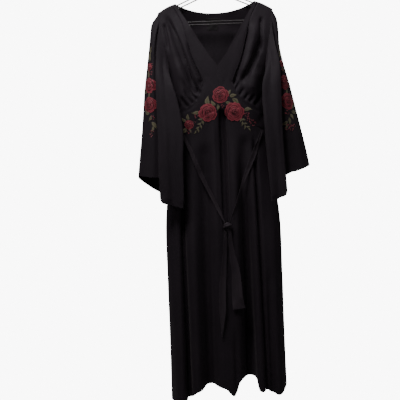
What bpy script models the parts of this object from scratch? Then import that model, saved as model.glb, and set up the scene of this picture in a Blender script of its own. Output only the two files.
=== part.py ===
"""Long black dress with bell sleeves, on a twin-rail hanger.

Metres, +Z up, front towards -Y. The origin is the inside top of the hook, where a rail holds it.
A depth is a distance below the neck corners at the shoulders. Left is the viewer's left, at -X.
"""

import math

import bmesh
import bpy
import numpy as np
from mathutils import Vector
from mathutils.bvhtree import BVHTree

# Driving dimensions
CORNER_DROP = 0.165  # hook's inside top down to the neck corners
HEM_DEPTH = 1.385  # the hem at the centre of the front
WALL = 0.0016  # crepe, with its seam allowance
SEAM_GAP = 0.0003
ARMHOLE_CLEAR = 0.0007
UNDERARM_CLEAR = 0.0021
NECK_HALF = 0.142
BACK_NECK_DROP = 0.033
WAIST = 0.474  # skirt seam at the sides and across the back
UNDERARM = 0.256
RIDGE_RADIUS = 0.009  # how far the cloth stands off where it folds over the hanger
OPENING_LENGTH = 0.130  # over which the two sides part below the shoulder
FOLD_FADE = 0.050
LENS_POWER = 3.0


def table(columns, *rows):
    """A table as a dictionary of its named columns."""
    return dict(zip(columns.split(), np.array(rows, float).T))


SHOULDER = table(
    "x depth",
    (0.000, -0.062),
    (0.100, -0.018),
    (0.142, 0.000),
    (0.170, 0.010),
    (0.190, 0.021),
    (0.206, 0.031),
)

BODY = table(
    "depth half_width front back",
    (-0.070, 0.228, 0.026, 0.026),
    (0.000, 0.226, 0.034, 0.032),
    (0.100, 0.214, 0.042, 0.040),
    (0.180, 0.199, 0.049, 0.044),
    (0.256, 0.178, 0.055, 0.046),
    (0.350, 0.173, 0.060, 0.046),
    (0.474, 0.170, 0.052, 0.047),
    (0.600, 0.182, 0.055, 0.053),
    (0.740, 0.203, 0.062, 0.062),
    (1.000, 0.209, 0.070, 0.075),
    (1.200, 0.209, 0.074, 0.082),
    (1.480, 0.212, 0.078, 0.088),
)

# The plain band: its inner edge is the neck, the centre front and the skirt seam, its outer edge the cup's seam
BAND = table(
    "inner_x inner_depth outer_x outer_depth",
    (0.142, 0.0000, 0.156, 0.0045),
    (0.129, 0.0240, 0.138, 0.0360),
    (0.105, 0.0650, 0.121, 0.0730),
    (0.079, 0.1100, 0.109, 0.1155),
    (0.052, 0.1560, 0.098, 0.1585),
    (0.026, 0.1980, 0.087, 0.1990),
    (0.000, 0.2340, 0.074, 0.2325),
    (0.000, 0.2650, 0.060, 0.2640),
    (0.000, 0.2960, 0.049, 0.2930),
    (0.000, 0.3350, 0.062, 0.3300),
    (0.000, 0.3740, 0.080, 0.3610),
    (0.040, 0.3920, 0.101, 0.3800),
    (0.080, 0.4180, 0.126, 0.3920),
    (0.120, 0.4460, 0.150, 0.4010),
    (0.170, 0.4740, 0.172, 0.4090),
)
CUP_CORNER = 8  # rows of the band beside the cup's inner seam
SEAM_APEX = 10  # row where the skirt seam starts, at the centre front
BAND_STEPS = 2  # rows of cloth for each row of the table
SKIRT_STEPS = 6

ARMHOLE = table(
    "depth front_x back_x",
    (0.0310, 0.2060, 0.2060),
    (0.0440, 0.2035, 0.2040),
    (0.0580, 0.2010, 0.2020),
    (0.0740, 0.1985, 0.1995),
    (0.0920, 0.1960, 0.1975),
    (0.1150, 0.1920, 0.1945),
    (0.1430, 0.1875, 0.1910),
    (0.1750, 0.1810, 0.1870),
    (0.2100, 0.1755, 0.1820),
    (0.2380, 0.1740, 0.1790),
    (0.2560, 0.1780, 0.1780),
)

# Folds of the front, seen from outside: a positive deep goes in, left and right are the half widths of its sides
FRONT_FOLDS = table(
    "start end x_start x_middle x_end deep_start deep_middle deep_end left right",
    (0.020, 0.345, -0.181, -0.137, -0.078, 0.003, 0.010, 0.006, 0.011, 0.009),
    (0.255, 0.375, -0.134, -0.112, -0.083, 0.002, 0.006, 0.003, 0.009, 0.007),
    (0.130, 0.300, 0.160, 0.132, 0.094, 0.003, 0.009, 0.005, 0.010, 0.010),
    (0.190, 0.385, 0.130, 0.132, 0.128, -0.003, -0.012, -0.004, 0.034, 0.028),
    (0.190, 0.385, -0.140, -0.138, -0.132, -0.003, -0.010, -0.004, 0.026, 0.032),
    (0.376, 0.960, 0.006, 0.008, 0.010, 0.010, 0.012, 0.000, 0.008, 0.020),
    (0.620, 1.600, -0.143, -0.143, -0.143, 0.010, 0.034, 0.044, 0.012, 0.010),
    (0.720, 1.600, -0.176, -0.176, -0.178, -0.002, -0.024, -0.038, 0.026, 0.026),
    (0.500, 1.600, -0.058, -0.066, -0.068, 0.006, 0.026, 0.044, 0.028, 0.024),
    (0.480, 1.600, -0.104, -0.106, -0.106, -0.002, -0.010, -0.016, 0.024, 0.024),
    (1.180, 1.600, 0.025, 0.026, 0.026, 0.001, 0.006, 0.010, 0.009, 0.009),
    (0.470, 1.600, 0.088, 0.076, 0.070, 0.006, 0.046, 0.086, 0.022, 0.019),
    (0.480, 1.600, 0.120, 0.128, 0.135, 0.006, 0.013, 0.018, 0.008, 0.010),
    (0.960, 1.600, 0.158, 0.158, 0.158, 0.002, 0.008, 0.013, 0.013, 0.013),
    (0.600, 1.600, 0.178, 0.184, 0.186, -0.003, -0.012, -0.022, 0.020, 0.018),
)

BACK_FOLDS = table(
    "start end x_start x_middle x_end deep_start deep_middle deep_end left right",
    (0.060, 0.430, -0.120, -0.105, -0.085, 0.000, 0.007, 0.004, 0.016, 0.014),
    (0.060, 0.430, 0.120, 0.105, 0.085, 0.000, 0.007, 0.004, 0.014, 0.016),
    (0.500, 1.600, -0.110, -0.125, -0.140, 0.004, 0.020, 0.030, 0.022, 0.022),
    (0.500, 1.600, -0.055, -0.064, -0.078, 0.004, 0.022, 0.034, 0.022, 0.022),
    (0.500, 1.600, -0.006, -0.010, -0.012, 0.004, 0.024, 0.036, 0.022, 0.022),
    (0.500, 1.600, 0.045, 0.044, 0.046, 0.002, 0.010, 0.014, 0.020, 0.020),
    (0.500, 1.600, 0.095, 0.110, 0.120, 0.004, 0.018, 0.028, 0.022, 0.022),
    (0.700, 1.600, 0.150, 0.160, 0.168, 0.002, 0.012, 0.018, 0.016, 0.016),
)

FRONT_HEM = table(
    "x lower",
    (-0.214, 0.045),
    (-0.176, 0.050),
    (-0.143, 0.037),
    (-0.115, 0.011),
    (-0.090, 0.000),
    (-0.068, -0.009),
    (-0.015, 0.003),
    (0.026, 0.018),
    (0.036, -0.012),
    (0.070, -0.028),
    (0.092, -0.022),
    (0.106, 0.012),
    (0.135, 0.017),
    (0.190, 0.030),
    (0.214, 0.001),
)
BACK_HEM = table(
    "x lower",
    (-0.214, 0.045),
    (-0.150, 0.012),
    (-0.080, -0.016),
    (0.000, -0.022),
    (0.080, -0.024),
    (0.150, -0.014),
    (0.214, 0.001),
)

# Edges of each sleeve, as distances from the centre plane
SLEEVE_OUTER = {
    -1: table(
        "depth x",
        (0.031, 0.207),
        (0.049, 0.221),
        (0.071, 0.230),
        (0.103, 0.235),
        (0.167, 0.244),
        (0.222, 0.252),
        (0.300, 0.264),
        (0.386, 0.272),
        (0.496, 0.284),
        (0.615, 0.299),
        (0.700, 0.309),
    ),
    1: table(
        "depth x",
        (0.031, 0.207),
        (0.049, 0.216),
        (0.071, 0.221),
        (0.103, 0.224),
        (0.167, 0.227),
        (0.222, 0.237),
        (0.300, 0.257),
        (0.386, 0.275),
        (0.496, 0.299),
        (0.600, 0.319),
        (0.700, 0.335),
    ),
}
SLEEVE_INNER = {
    -1: table(
        "depth x",
        (0.200, 0.178),
        (0.238, 0.173),
        (0.300, 0.161),
        (0.361, 0.147),
        (0.452, 0.134),
        (0.570, 0.137),
        (0.732, 0.140),
    ),
    1: table(
        "depth x",
        (0.200, 0.176),
        (0.238, 0.170),
        (0.300, 0.157),
        (0.361, 0.154),
        (0.426, 0.157),
        (0.570, 0.163),
        (0.732, 0.174),
    ),
}
SLEEVE_CREASE = {
    -1: table(
        "depth x",
        (0.250, 0.220),
        (0.700, 0.219),
    ),
    1: table(
        "depth x",
        (0.250, 0.221),
        (0.550, 0.220),
        (0.700, 0.227),
    ),
}
CREASE_SHARE = 0.75  # near the shoulder the crease stays within this share of the way to the outer edge

# Lines down the sleeve. Place counts armhole rows from the shoulder, down the front and up the back.
# Across is 0 at the inner edge, 1 at the crease and 2 at the outer edge. Settle is where a line leaves the armhole.
SLEEVE = table(
    "place across y_upper y_middle y_hem hem_left hem_right settle",
    (0.0, 2.00, -0.006, -0.014, -0.022, 0.615, 0.600, 0.08),
    (1.5, 1.52, -0.030, -0.044, -0.054, 0.620, 0.617, 0.20),
    (2.6, 0.90, -0.042, -0.058, -0.066, 0.632, 0.634, 0.30),
    (3.6, 1.02, -0.058, -0.080, -0.094, 0.690, 0.681, 0.32),
    (6.0, 0.50, -0.060, -0.090, -0.094, 0.722, 0.711, 0.32),
    (9.0, 0.00, -0.050, -0.078, -0.086, 0.732, 0.719, 0.16),
    (10.0, 0.42, -0.018, -0.054, -0.064, 0.722, 0.710, 0.12),
    (13.5, 0.85, 0.018, -0.012, -0.018, 0.688, 0.648, 0.22),
    (17.0, 1.55, 0.030, 0.024, 0.020, 0.652, 0.615, 0.20),
)
SLEEVE_STATIONS = (0.20, 0.42, 0.68)
SLEEVE_ROWS = (0.0, 0.015, 0.05, 0.11, 0.20, 0.30, 0.42, 0.55, 0.70, 0.85, 1.0)

# Embroidered roses, raised off the cloth
MIDRIFF_ROSES = table(
    "x depth radius turn",
    (0.008, 0.336, 0.029, 0.3),
    (-0.040, 0.395, 0.031, 1.4),
    (0.055, 0.396, 0.033, 5.3),
    (-0.113, 0.437, 0.017, 0.9),
)
SLEEVE_ROSES = table(
    "x depth radius turn",
    (0.241, 0.228, 0.019, 0.5),
    (0.240, 0.292, 0.027, 1.7),
    (0.247, 0.362, 0.029, 2.9),
)
ROSE_CLEAR = 0.0011
ROSE_RINGS = ((0.0, 0.0022), (0.40, 0.0022), (0.72, 0.0018), (1.0, 0.0010))  # share of the radius, thickness
ROSE_SEGMENTS = 16
ROSE_MARGIN = (0.003, 0.011)  # kept free beside the sleeve's crease and its outer edge
ROSE_LEAST = 0.008  # narrowest rose beside the crease
SLEEVE_ROSE_PLANE = -0.030

# Ties
TIE_THICK = 0.0030
KNOT_X = 0.013
KNOT_DEPTH = 0.803
KNOT_SIZE = (0.0150, 0.0105, 0.0135)
TIE_ENTRY = (0.61, 0.84)  # where a tie meets the knot, as shares of its half width and half height
TAIL_EXIT = 0.95
TIE_WIDTH = {-1: 0.013, 1: 0.014}
TIE_TURN = 28  # degrees
TAIL_TURN = 22
TIE_ROOT = {-1: (-0.150, 0.437), 1: (0.150, 0.468)}  # x and depth below the neck corner

# Hanger
RAIL_RADIUS = 0.0025
RAIL_BELOW = 0.0088  # its middle below the fold of the cloth
RUNG_BAR_X = 0.110
APEX_CLEAR = 0.0009  # more room where the rails bend
RAIL_SPACING = 0.010
BAR_DEPTH = 0.078
TIP_X = 0.2030
TIP_DEPTH = 0.054
APEX_DEPTH = -0.058
HOOK_RADIUS = 0.0022
HOOK_BOW = 0.0225
HOOK_ARC = (205, -68)  # degrees from +X, from the tip round to the stem
HOOK_STEM = ((0.0, 0.0457), (-0.002, 0.0357), (0.002, 0.0265))  # sideways and below the bow's centre
COLLAR_RADIUS = 0.0065
COLLAR_TOP = -0.078

BLACK = (0.012, 0.010, 0.012)
RED = (0.19, 0.014, 0.024)
STEEL = (0.30, 0.30, 0.31)


def read(rows, column, at):
    """Values of a column at these places of the first column, on a smooth curve through the rows."""
    key = next(iter(rows.values()))
    value = rows[column]
    slope = np.gradient(value, key)
    at = np.clip(at, key[0], key[-1])
    i = np.clip(np.searchsorted(key, at, side="right") - 1, 0, len(key) - 2)
    step = key[i + 1] - key[i]
    f = (at - key[i]) / step
    start = (1 + 2 * f) * value[i] + f * step * slope[i]
    end = (3 - 2 * f) * value[i + 1] + (f - 1) * step * slope[i + 1]
    return (1 - f) ** 2 * start + f**2 * end


def smooth(f):
    """Eased step from 0 to 1."""
    f = np.clip(f, 0, 1)
    return f * f * (3 - 2 * f)


def through(start, middle, end, f):
    """Parabola through three values at 0, a half and 1."""
    return start * (1 - f) * (1 - 2 * f) + 4 * middle * f * (1 - f) + end * f * (2 * f - 1)


def unit(vectors):
    return vectors / np.linalg.norm(vectors, axis=-1, keepdims=True)


def fold_depth(folds, x, depth):
    """How far the folds push the cloth in."""
    total = np.zeros(np.broadcast(x, depth).shape)
    for start, end, x0, x1, x2, d0, d1, d2, left, right in zip(*folds.values()):
        f = np.clip((depth - start) / (end - start), 0, 1)
        off = x - through(x0, x1, x2, f)
        width = np.where(off < 0, left, right)
        fade = smooth((depth - start) / FOLD_FADE) * smooth((end - depth) / FOLD_FADE)
        total += through(d0, d1, d2, f) * fade * np.exp(-((off / width) ** 2))
    return total


def body(angle, depth):
    """Middle of the cloth at this angle round the body: the front's centre is 0, the sides are a quarter turn."""
    angle, depth = np.broadcast_arrays(np.asarray(angle, float), np.asarray(depth, float))
    x = read(BODY, "half_width", depth) * np.sin(angle)
    front = np.cos(angle) >= 0
    reach = np.where(front, read(BODY, "front", depth), read(BODY, "back", depth))
    lens = np.sqrt(np.clip(1 - np.abs(np.sin(angle)) ** LENS_POWER, 0, 1))
    below = depth - read(SHOULDER, "depth", np.abs(x))
    ridge = RIDGE_RADIUS * np.sqrt(1 - (1 - np.clip(below / RIDGE_RADIUS, 0, 1)) ** 2)
    out = ridge * lens**0.3 + (reach - RIDGE_RADIUS) * smooth(below / OPENING_LENGTH) * lens
    folds = np.where(front, fold_depth(FRONT_FOLDS, x, depth), fold_depth(BACK_FOLDS, x, depth))
    out = out - folds * np.sqrt(lens) * smooth(below / FOLD_FADE)
    return np.stack([x, np.where(front, -out, out), -CORNER_DROP - depth], axis=-1)


def outward(angle, depth):
    """Unit normals of the body's cloth, pointing out."""
    small = 2e-5
    x = read(BODY, "half_width", depth) * np.sin(angle)
    depth = np.maximum(depth, read(SHOULDER, "depth", np.abs(x)) + 1.5 * small)
    down = body(angle, depth + small) - body(angle, depth - small)
    across = body(angle + small, depth) - body(angle - small, depth)
    return unit(np.cross(down, across))


def angle_of(x, depth):
    return np.arcsin(np.clip(x / read(BODY, "half_width", depth), -1, 1))


def front_y(x, depth):
    return body(angle_of(x, depth), depth)[..., 1]


def clear_y(x, depth, half_width, gap):
    """A depth in y that clears the skirt's front by this gap, over a strap's width."""
    near = [front_y(x + dx, depth + dz) for dx in (-half_width, 0, half_width) for dz in (-0.012, 0, 0.012)]
    return float(np.min(near)) - gap


def material(name, colour, roughness, metallic=0.0):
    found = bpy.data.materials.get(name)
    if found:
        return found
    made = bpy.data.materials.new(name)
    made.use_nodes = True
    shader = made.node_tree.nodes["Principled BSDF"]
    shader.inputs["Base Color"].default_value = (*colour, 1)
    shader.inputs["Roughness"].default_value = roughness
    shader.inputs["Metallic"].default_value = metallic
    return made


def crepe():
    return material("black_crepe", BLACK, 0.75)


def add_object(name, points, faces, finish):
    """A mesh object with its faces turned outwards."""
    mesh = bpy.data.meshes.new(name)
    mesh.from_pydata([tuple(map(float, p)) for p in points], [], faces)
    work = bmesh.new()
    work.from_mesh(mesh)
    bmesh.ops.recalc_face_normals(work, faces=work.faces)
    work.to_mesh(mesh)
    work.free()
    mesh.shade_smooth()
    mesh.set_sharp_from_angle(angle=math.radians(40))
    mesh.materials.append(finish)
    made = bpy.data.objects.new(name, mesh)
    bpy.context.scene.collection.objects.link(made)
    return made


def seam_inset(points, edges):
    """Draws the named edges of a grid of points back by half the seam gap."""
    points = points.copy()
    for edge in edges:
        first, second = {"top": (0, 1), "bottom": (-1, -2), "left": (0, 1), "right": (-1, -2)}[edge]
        row = edge in ("top", "bottom")
        at = (first,) if row else (slice(None), first)
        towards = (second,) if row else (slice(None), second)
        points[at] += unit(points[towards] - points[at]) * SEAM_GAP / 2
    return points


def wall(name, points, normals, closed=False):
    """A cloth wall about a grid of points. A closed grid joins its last column to its first."""
    rows, columns = points.shape[:2]
    outer = points + normals * WALL / 2
    inner = points - normals * WALL / 2
    corners = np.concatenate([outer.reshape(-1, 3), inner.reshape(-1, 3)])
    count = rows * columns
    spans = columns if closed else columns - 1

    def at(row, column, side):
        return side * count + row * columns + column % columns

    faces = []
    for side in (0, 1):
        for r in range(rows - 1):
            for c in range(spans):
                faces.append((at(r, c, side), at(r, c + 1, side), at(r + 1, c + 1, side), at(r + 1, c, side)))
    for c in range(spans):
        for r in (0, rows - 1):
            faces.append((at(r, c, 0), at(r, c + 1, 0), at(r, c + 1, 1), at(r, c, 1)))
    if not closed:
        for r in range(rows - 1):
            for c in (0, columns - 1):
                faces.append((at(r, c, 0), at(r + 1, c, 0), at(r + 1, c, 1), at(r, c, 1)))
    return add_object(name, corners, faces, crepe())


def subdivide(values, steps):
    """Values of a table's rows with this many steps between each two."""
    return np.interp(np.arange((len(values) - 1) * steps + 1) / steps, np.arange(len(values)), values)


def band_edge(side, which):
    """Angles and depths along one edge of the band, from the shoulder to the side seam."""
    depth = BAND[which + "_depth"]
    angle = side * angle_of(BAND[which + "_x"], depth)
    angle[-1] = side * math.pi / 2
    if which == "outer":
        depth = np.array([read(SHOULDER, "depth", BAND["outer_x"][0]), *depth[1:]])
    return subdivide(angle, BAND_STEPS), subdivide(depth, BAND_STEPS)


def build_band(side, name):
    inner = np.stack(band_edge(side, "inner"))
    outer = np.stack(band_edge(side, "outer"))
    across = np.linspace(0, 1, 5)[None, :, None]
    grid = inner.T[:, None, :] * (1 - across) + outer.T[:, None, :] * across
    top_x = np.linspace(NECK_HALF, BAND["outer_x"][0], grid.shape[1])
    grid[0, :, 1] = read(SHOULDER, "depth", top_x)
    grid[0, :, 0] = side * angle_of(top_x, grid[0, :, 1])
    points = body(grid[..., 0], grid[..., 1])
    points = seam_inset(points, ("top", "bottom", "right"))
    centre_gap = np.arange(len(points)) >= (CUP_CORNER - 2) * BAND_STEPS
    points[centre_gap, 0] += unit(points[centre_gap, 1] - points[centre_gap, 0]) * SEAM_GAP / 2
    return wall(name, points, outward(grid[..., 0], grid[..., 1]))


def coons(top, bottom, left, right):
    """A grid that blends four edges, each an array of angle and depth pairs."""
    b = np.linspace(0, 1, len(left))[:, None, None]
    a = np.linspace(0, 1, len(top))[None, :, None]
    down = top[None] * (1 - b) + bottom[None] * b
    across = left[:, None] * (1 - a) + right[:, None] * a
    corners = (top[0] * (1 - a) + top[-1] * a) * (1 - b) + (bottom[0] * (1 - a) + bottom[-1] * a) * b
    return down + across - corners


def armhole_edge(side, which):
    """Angles and depths from the shoulder to the underarm, on the front or the back."""
    angle = angle_of(ARMHOLE[which + "_x"], ARMHOLE["depth"])
    angle[-1] = math.pi / 2
    return side * (angle if which == "front" else math.pi - angle), ARMHOLE["depth"]


def side_run(side, start, end, count):
    depth = np.linspace(start, end, count + 1)[1:]
    return np.full(count, side * math.pi / 2), depth


def build_cup(side, name):
    angle, depth = band_edge(side, "outer")
    corner = CUP_CORNER * BAND_STEPS
    inner = np.stack([angle[: corner + 1], depth[: corner + 1]], axis=1)
    bottom = np.stack([angle[corner:], depth[corner:]], axis=1)
    arm_angle, arm_depth = armhole_edge(side, "front")
    run_angle, run_depth = side_run(side, UNDERARM, depth[-1], corner + 1 - len(arm_depth))
    outer = np.stack([np.append(arm_angle, run_angle), np.append(arm_depth, run_depth)], axis=1)
    x = np.linspace(BAND["outer_x"][0], ARMHOLE["front_x"][0], len(bottom))
    top_depth = read(SHOULDER, "depth", x)
    top = np.stack([side * angle_of(x, top_depth), top_depth], axis=1)
    grid = coons(top, bottom, inner, outer)
    points = seam_inset(body(grid[..., 0], grid[..., 1]), ("top", "bottom", "left", "right"))
    return wall(name, points, outward(grid[..., 0], grid[..., 1]))


def back_top():
    """Top edge of the back, from the left shoulder tip round the neck to the right one."""
    shoulder = np.linspace(ARMHOLE["back_x"][0], NECK_HALF, 5)
    neck = np.linspace(-NECK_HALF, NECK_HALF, 13)
    x = np.concatenate([-shoulder, neck[1:-1], shoulder[::-1]])
    drop = BACK_NECK_DROP * (1 - (np.abs(x) / NECK_HALF) ** 2.4)
    depth = np.where(np.abs(x) < NECK_HALF, drop, read(SHOULDER, "depth", np.abs(x)))
    return x, depth


def build_back():
    x, depth = back_top()
    top = np.stack([math.pi - angle_of(x, depth), depth], axis=1)
    rows = 16
    edges = []
    for side in (-1, 1):
        arm_angle, arm_depth = armhole_edge(side, "back")
        if side < 0:
            arm_angle = arm_angle + 2 * math.pi
        run_angle, run_depth = side_run(side, UNDERARM, WAIST, rows + 1 - len(arm_depth))
        run_angle = np.full(len(run_angle), math.pi - side * math.pi / 2)
        edges.append(np.stack([np.append(arm_angle, run_angle), np.append(arm_depth, run_depth)], axis=1))
    spread = np.linspace(-1, 1, len(x))
    bottom_angle = math.pi - spread * math.pi / 2
    bottom = np.stack([bottom_angle, np.full(len(x), WAIST)], axis=1)
    grid = coons(top, bottom, edges[0], edges[1])
    points = seam_inset(body(grid[..., 0], grid[..., 1]), ("bottom", "left", "right"))
    over_shoulder = np.abs(x) >= NECK_HALF
    points[0, over_shoulder] += unit(points[1, over_shoulder] - points[0, over_shoulder]) * SEAM_GAP / 2
    return wall("back_bodice", points, outward(grid[..., 0], grid[..., 1]))


def build_skirt_front():
    """The front of the skirt hangs from the bands' lower edge, on the same straight runs."""
    halves = []
    for side in (-1, 1):
        angle, depth = band_edge(side, "inner")
        seam = np.stack([angle, depth], axis=1)[SEAM_APEX * BAND_STEPS :]
        seam_points = body(seam[:, 0], seam[:, 1])
        finer = SKIRT_STEPS // BAND_STEPS
        seam = np.stack([subdivide(column, finer) for column in seam.T], axis=1)
        seam_points = np.stack([subdivide(column, finer) for column in seam_points.T], axis=1)
        halves.append((seam, seam_points))
    top = np.concatenate([halves[0][0][::-1], halves[1][0][1:]])
    top_points = np.concatenate([halves[0][1][::-1], halves[1][1][1:]])
    hem_x = read(BODY, "half_width", HEM_DEPTH) * np.sin(top[:, 0])
    hem = HEM_DEPTH + read(FRONT_HEM, "lower", hem_x)
    down = np.linspace(0, 1, 14)[:, None] ** 1.15
    depth = top[None, :, 1] * (1 - down) + hem[None] * down
    angle = np.broadcast_to(top[:, 0], depth.shape)
    points = body(angle, depth)
    points[0] = top_points
    return wall("skirt_front", seam_inset(points, ("top", "left", "right")), outward(angle, depth))


def build_skirt_back():
    angle = np.linspace(math.pi / 2, math.pi * 3 / 2, 37)
    hem_x = read(BODY, "half_width", HEM_DEPTH) * np.sin(angle)
    hem = HEM_DEPTH + read(BACK_HEM, "lower", hem_x)
    down = np.linspace(0, 1, 12)[:, None]
    depth = WAIST * (1 - down) + hem[None] * down
    angle = np.broadcast_to(angle, depth.shape)
    points = seam_inset(body(angle, depth), ("top", "left", "right"))
    return wall("skirt_back", points, outward(angle, depth))


def armhole_ring(side):
    """Points and normals round the armhole, from the shoulder down the front and up the back."""
    front_angle, front_depth = armhole_edge(side, "front")
    back_angle, back_depth = armhole_edge(side, "back")
    angle = np.concatenate([front_angle, back_angle[::-1][1:-1]])
    depth = np.concatenate([front_depth, back_depth[::-1][1:-1]])
    return body(angle, depth), outward(angle, depth)


def around(column, place):
    """A column of the sleeve's lines, read round the closed ring."""
    turn = 2 * (len(ARMHOLE["depth"]) - 1)
    key = SLEEVE["place"]
    loop = {
        "place": np.concatenate([key[-3:] - turn, key, key[:3] + turn]),
        "value": np.concatenate([SLEEVE[column][-3:], SLEEVE[column], SLEEVE[column][:3]]),
    }
    return read(loop, "value", place)


def sleeve_edges(side, depth, across):
    inner = read(SLEEVE_INNER[side], "x", depth)
    outer = read(SLEEVE_OUTER[side], "x", depth)
    highest = inner + (outer - inner) * CREASE_SHARE
    crease = np.minimum(read(SLEEVE_CREASE[side], "x", depth), highest)
    low = inner + (crease - inner) * np.minimum(across, 1)
    return side * (low + (outer - crease) * np.clip(across - 1, 0, 1))


def sleeve_grid(side, rows, steps):
    """Middle of a sleeve's cloth, row by row from the armhole to the cuff."""
    ring, ring_normals = armhole_ring(side)
    closed = np.concatenate([ring, ring[:1]])
    closed_normals = np.concatenate([ring_normals, ring_normals[:1]])
    start = np.stack([subdivide(column, steps) for column in closed.T], axis=1)[:-1]
    start_normals = np.stack([subdivide(column, steps) for column in closed_normals.T], axis=1)[:-1]
    place = np.arange(len(start)) / steps
    v = np.array(rows)[:, None]
    hem = around("hem_left" if side < 0 else "hem_right", place)
    top = -CORNER_DROP - start[:, 2]
    depth = top * (1 - v) + hem * v
    across = np.clip(around("across", place), 0, 2)
    x = sleeve_edges(side, depth, across)
    y_at = [around(name, place)[None] for name in ("y_upper", "y_middle", "y_hem")]
    upper, middle, low = SLEEVE_STATIONS
    f = (depth - upper) / (low - upper)
    y = through(*y_at, np.clip(f, -0.3, 1.1))
    settle = 1 - (1 - np.clip(v / around("settle", place), 0, 1)) ** 2
    x = start[:, 0] * (1 - settle) + x * settle
    y = start[:, 1] * (1 - settle) + y * settle
    return np.stack([x, y, -CORNER_DROP - depth], axis=-1), start_normals


def grid_normals(points, side):
    """Unit normals of a closed grid, pointing out of the tube."""
    across = np.roll(points, -1, axis=1) - np.roll(points, 1, axis=1)
    down = np.gradient(points, axis=0)
    return unit(np.cross(across, down)) * side


def build_sleeve(side, name):
    points, start_normals = sleeve_grid(side, SLEEVE_ROWS, 2)
    normals = grid_normals(points, side)
    underarm = len(ARMHOLE["depth"]) * 2 - 2
    from_underarm = np.abs(np.arange(points.shape[1]) - underarm) / 5
    keep = smooth(from_underarm)[:, None]
    normals[0] = unit(start_normals * keep + (normals[0] + np.array([0, 0, -1])) * (1 - keep))
    seam = np.roll(points[0], -1, axis=0) - np.roll(points[0], 1, axis=0)
    away = -side * unit(np.cross(seam, normals[0]))
    points[0] += away * ARMHOLE_CLEAR * keep
    points[0] += np.array([side, 0, 1]) * UNDERARM_CLEAR * (1 - keep)
    return wall(name, points, normals, closed=True)


def tube(path, radius, sides, closed=False):
    """Vertices and faces of a round bar along a path in the XZ plane."""
    path = np.array(path, float)
    ahead = np.roll(path, -1, axis=0) if closed else np.vstack([path[1:], 2 * path[-1] - path[-2]])
    behind = np.roll(path, 1, axis=0) if closed else np.vstack([2 * path[0] - path[1], path[:-1]])
    along = unit(ahead - behind)
    across = np.cross(along, [0, 1, 0])
    turn = 2 * math.pi * np.arange(sides) / sides
    ring = np.cos(turn)[None, :, None] * across[:, None] + np.sin(turn)[None, :, None] * np.array([0, 1, 0])
    points = (path[:, None] + radius * ring).reshape(-1, 3)
    count = len(path)
    faces = []
    for i in range(count if closed else count - 1):
        for j in range(sides):
            a, b = i * sides, (i + 1) % count * sides
            faces.append((a + j, a + (j + 1) % sides, b + (j + 1) % sides, b + j))
    if not closed:
        faces.append(tuple(range(sides)))
        faces.append(tuple(range((count - 1) * sides, count * sides)))
    return points, faces


def arm_line(inset):
    """One rail's arm from the apex to the tip, this far inside the outer rail."""
    x = np.array([0.030, 0.090, NECK_HALF, 0.170, 0.188, 0.196])
    depth = read(SHOULDER, "depth", x) + RAIL_BELOW + inset / math.cos(math.radians(26))
    return x, depth


def rail_loop(inset):
    """Closed path of one rail: arms, tips and bar."""
    x, depth = arm_line(inset)
    tip = (TIP_X - inset, TIP_DEPTH + inset * 0.35)
    bar = BAR_DEPTH - inset
    half = [(0.0, APEX_DEPTH + inset * 1.1)]
    half += list(zip(x[:-1] - inset * 0.45, depth[:-1]))
    half += [tip, (tip[0] - 0.0015, (tip[1] + bar) / 2 + 0.002), (tip[0] - 0.009, bar)]
    right = [(px, 0, -CORNER_DROP - pd) for px, pd in half]
    left = [(-px, y, z) for px, y, z in right[:0:-1]]
    return right + left


def build_hanger():
    """Two rails held together by short rungs, and the collar that takes the hook."""
    plastic = material("hanger_plastic", (0.02, 0.02, 0.022), 0.35)
    outer, inner = rail_loop(0), rail_loop(RAIL_SPACING)
    add_object("hanger_rail_outer", *tube(outer, RAIL_RADIUS, 8, True), plastic)
    add_object("hanger_rail_inner", *tube(inner, RAIL_RADIUS, 8, True), plastic)
    reach = RAIL_RADIUS + SEAM_GAP
    bar = -CORNER_DROP - BAR_DEPTH
    ties = [(outer[i], inner[i]) for i in (0, 3, len(outer) - 3)]
    ties += [((x, 0, bar), (x, 0, bar + RAIL_SPACING)) for x in (-RUNG_BAR_X, RUNG_BAR_X)]
    for k, pair in enumerate(ties):
        ends = np.array(pair)
        along = unit(ends[1] - ends[0])
        ends += np.array([along, -along]) * (reach + (APEX_CLEAR if k == 0 else 0))
        add_object(f"hanger_rung_{k + 1}", *tube(ends, RAIL_RADIUS * 0.8, 6), plastic)
    neck_z = -CORNER_DROP - APEX_DEPTH + RAIL_RADIUS + SEAM_GAP
    collar_z = -CORNER_DROP - COLLAR_TOP
    add_object("hanger_collar", *tube([(0, 0, neck_z), (0, 0, collar_z)], COLLAR_RADIUS, 12), plastic)
    build_hook(collar_z)


def build_hook(collar_z):
    """A steel wire hook whose inside top is the origin."""
    centre = HOOK_RADIUS - HOOK_BOW
    turn = np.radians(np.linspace(HOOK_ARC[1], HOOK_ARC[0], 20))
    bow = [(HOOK_BOW * math.cos(a), 0, centre + HOOK_BOW * math.sin(a)) for a in turn]
    stem = [(0, 0, collar_z + SEAM_GAP)] + [(x, 0, centre - drop) for x, drop in HOOK_STEM]
    path = stem + bow
    add_object("hanger_hook", *tube(path, HOOK_RADIUS, 8), material("hook_steel", STEEL, 0.28, 1.0))


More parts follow.
